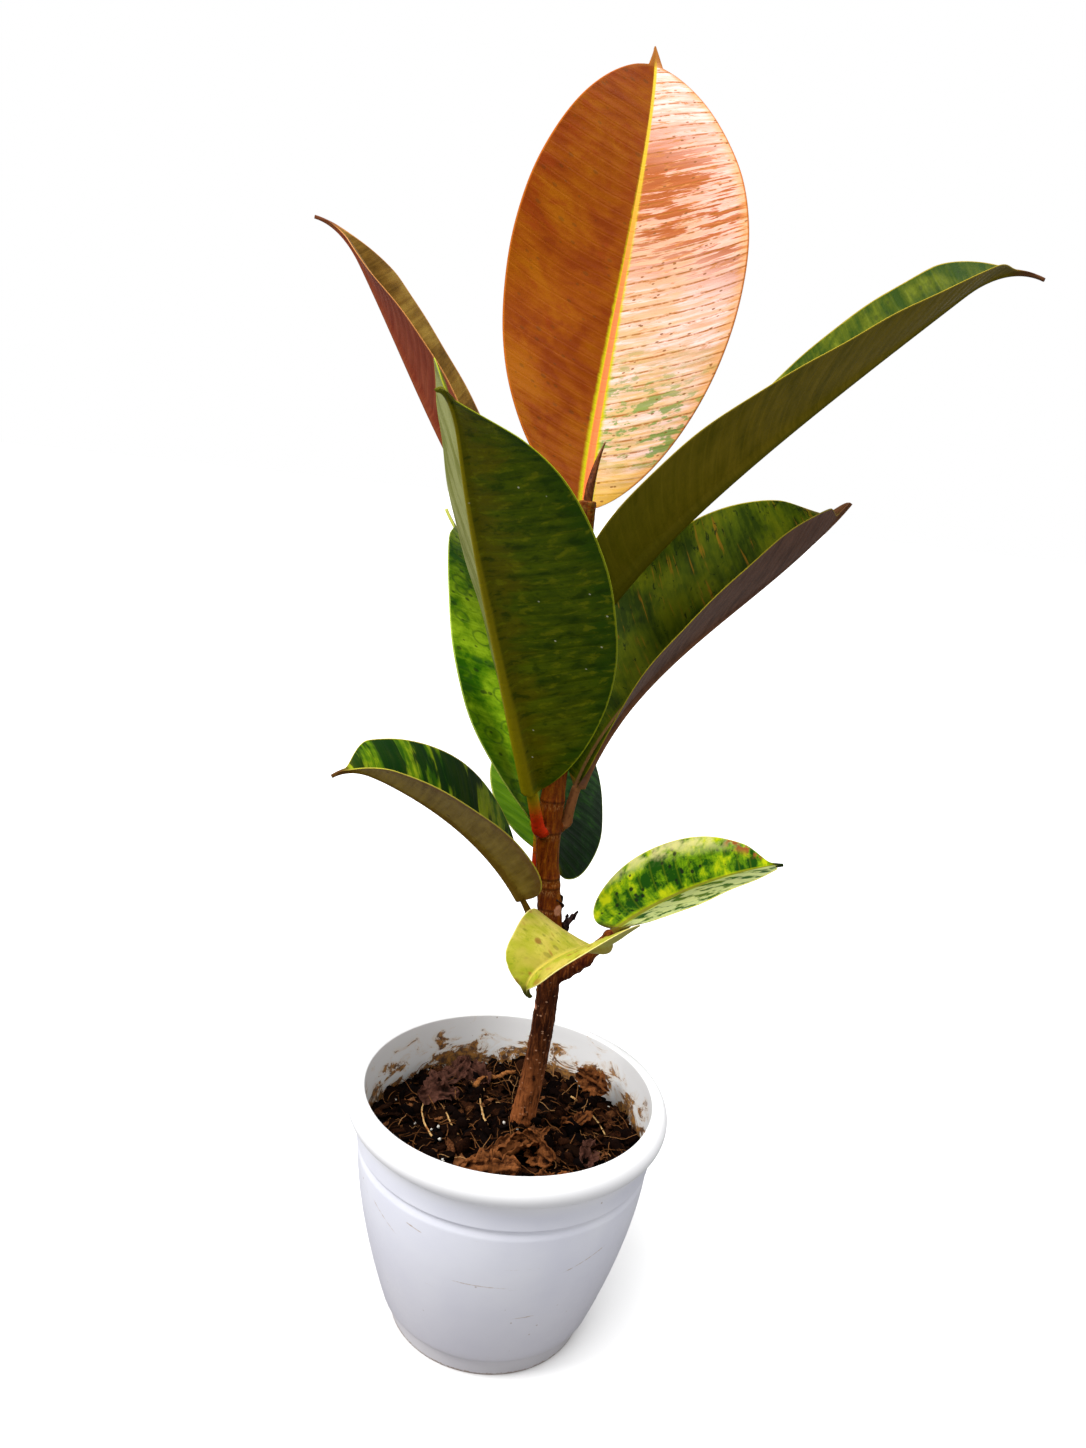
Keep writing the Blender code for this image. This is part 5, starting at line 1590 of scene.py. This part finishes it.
def make_camera():
    data = bpy.data.cameras.new("camera")
    data.sensor_fit = "VERTICAL"
    data.sensor_height = SENSOR_HEIGHT
    data.lens = CAMERA_LENS
    data.clip_start = 0.01
    camera = bpy.data.objects.new("camera", data)
    bpy.context.scene.collection.objects.link(camera)
    ahead = Vector((0.0, cos(CAMERA_PITCH), -sin(CAMERA_PITCH)))
    down = Vector((0.0, -sin(CAMERA_PITCH), -cos(CAMERA_PITCH)))
    level = Vector((1.0, 0.0, 0.0))
    right = level * cos(CAMERA_ROLL) + down * sin(CAMERA_ROLL)
    low = down * cos(CAMERA_ROLL) - level * sin(CAMERA_ROLL)
    camera.matrix_world = Matrix((
        (right.x, -low.x, -ahead.x, CAMERA_PLACE.x),
        (right.y, -low.y, -ahead.y, CAMERA_PLACE.y),
        (right.z, -low.z, -ahead.z, CAMERA_PLACE.z),
        (0.0, 0.0, 0.0, 1.0)))
    bpy.context.scene.camera = camera


def add_softbox(name, place, target, size, power, colour):
    data = bpy.data.lights.new(name, "AREA")
    data.shape = "DISK"
    data.size = size
    data.energy = power
    data.color = colour
    lamp = bpy.data.objects.new(name, data)
    bpy.context.scene.collection.objects.link(lamp)
    lamp.location = place
    aim = Vector(target) - Vector(place)
    lamp.rotation_euler = aim.to_track_quat("-Z", "Y").to_euler()


def make_stage():
    mesh = bpy.data.meshes.new("floor")
    builder = bmesh.new()
    bmesh.ops.create_circle(builder, cap_ends=True, segments=96, radius=14.0)
    builder.to_mesh(mesh)
    builder.free()
    floor = bpy.data.objects.new("floor", mesh)
    bpy.context.scene.collection.objects.link(floor)
    paint = Paint("floor_skin", 0.9, 0.1)
    seen = paint.made("LightPath", {}, "Is Camera Ray")
    paint.colour(paint.mix(seen, FLOOR_BOUNCE, FLOOR_PALE))
    paint.put(paint.shader.inputs["Emission Color"], WHITE)
    glow = paint.distance((0.0, 0.0, 0.0)).fade(250.0, 1500.0, 0.05, 0.75) * seen
    paint.put(paint.shader.inputs["Emission Strength"], glow)
    mesh.materials.append(paint.material)
    world = bpy.data.worlds.new("studio")
    world.use_nodes = True
    bpy.context.scene.world = world
    nodes, links = world.node_tree.nodes, world.node_tree.links
    background = nodes["Background"]
    background.inputs["Color"].default_value = (*WHITE, 1.0)
    seen = nodes.new("ShaderNodeLightPath").outputs["Is Camera Ray"]
    strength = nodes.new("ShaderNodeMapRange")
    links.new(seen, strength.inputs["Value"])
    strength.inputs["To Min"].default_value = SKY_LIGHT
    strength.inputs["To Max"].default_value = SKY_SEEN
    links.new(strength.outputs[0], background.inputs["Strength"])
    add_softbox("key", (-0.85, -0.35, 1.05), (0.0, 0.0, 0.15), 0.8, 18.0, (1.0, 0.99, 0.98))
    add_softbox("top", (0.05, -0.25, 1.35), (0.0, 0.0, 0.10), 0.8, 20.0, (1.0, 1.0, 1.0))
    view = bpy.context.scene.view_settings
    view.view_transform = "Standard"
    view.look = "None"


make_camera()
make_stage()
make_pot()
make_soil()
make_crumbs()
make_fibres()
make_flakes()
make_stem()
make_bud()
make_stipules()
make_litter()
make_leaves()
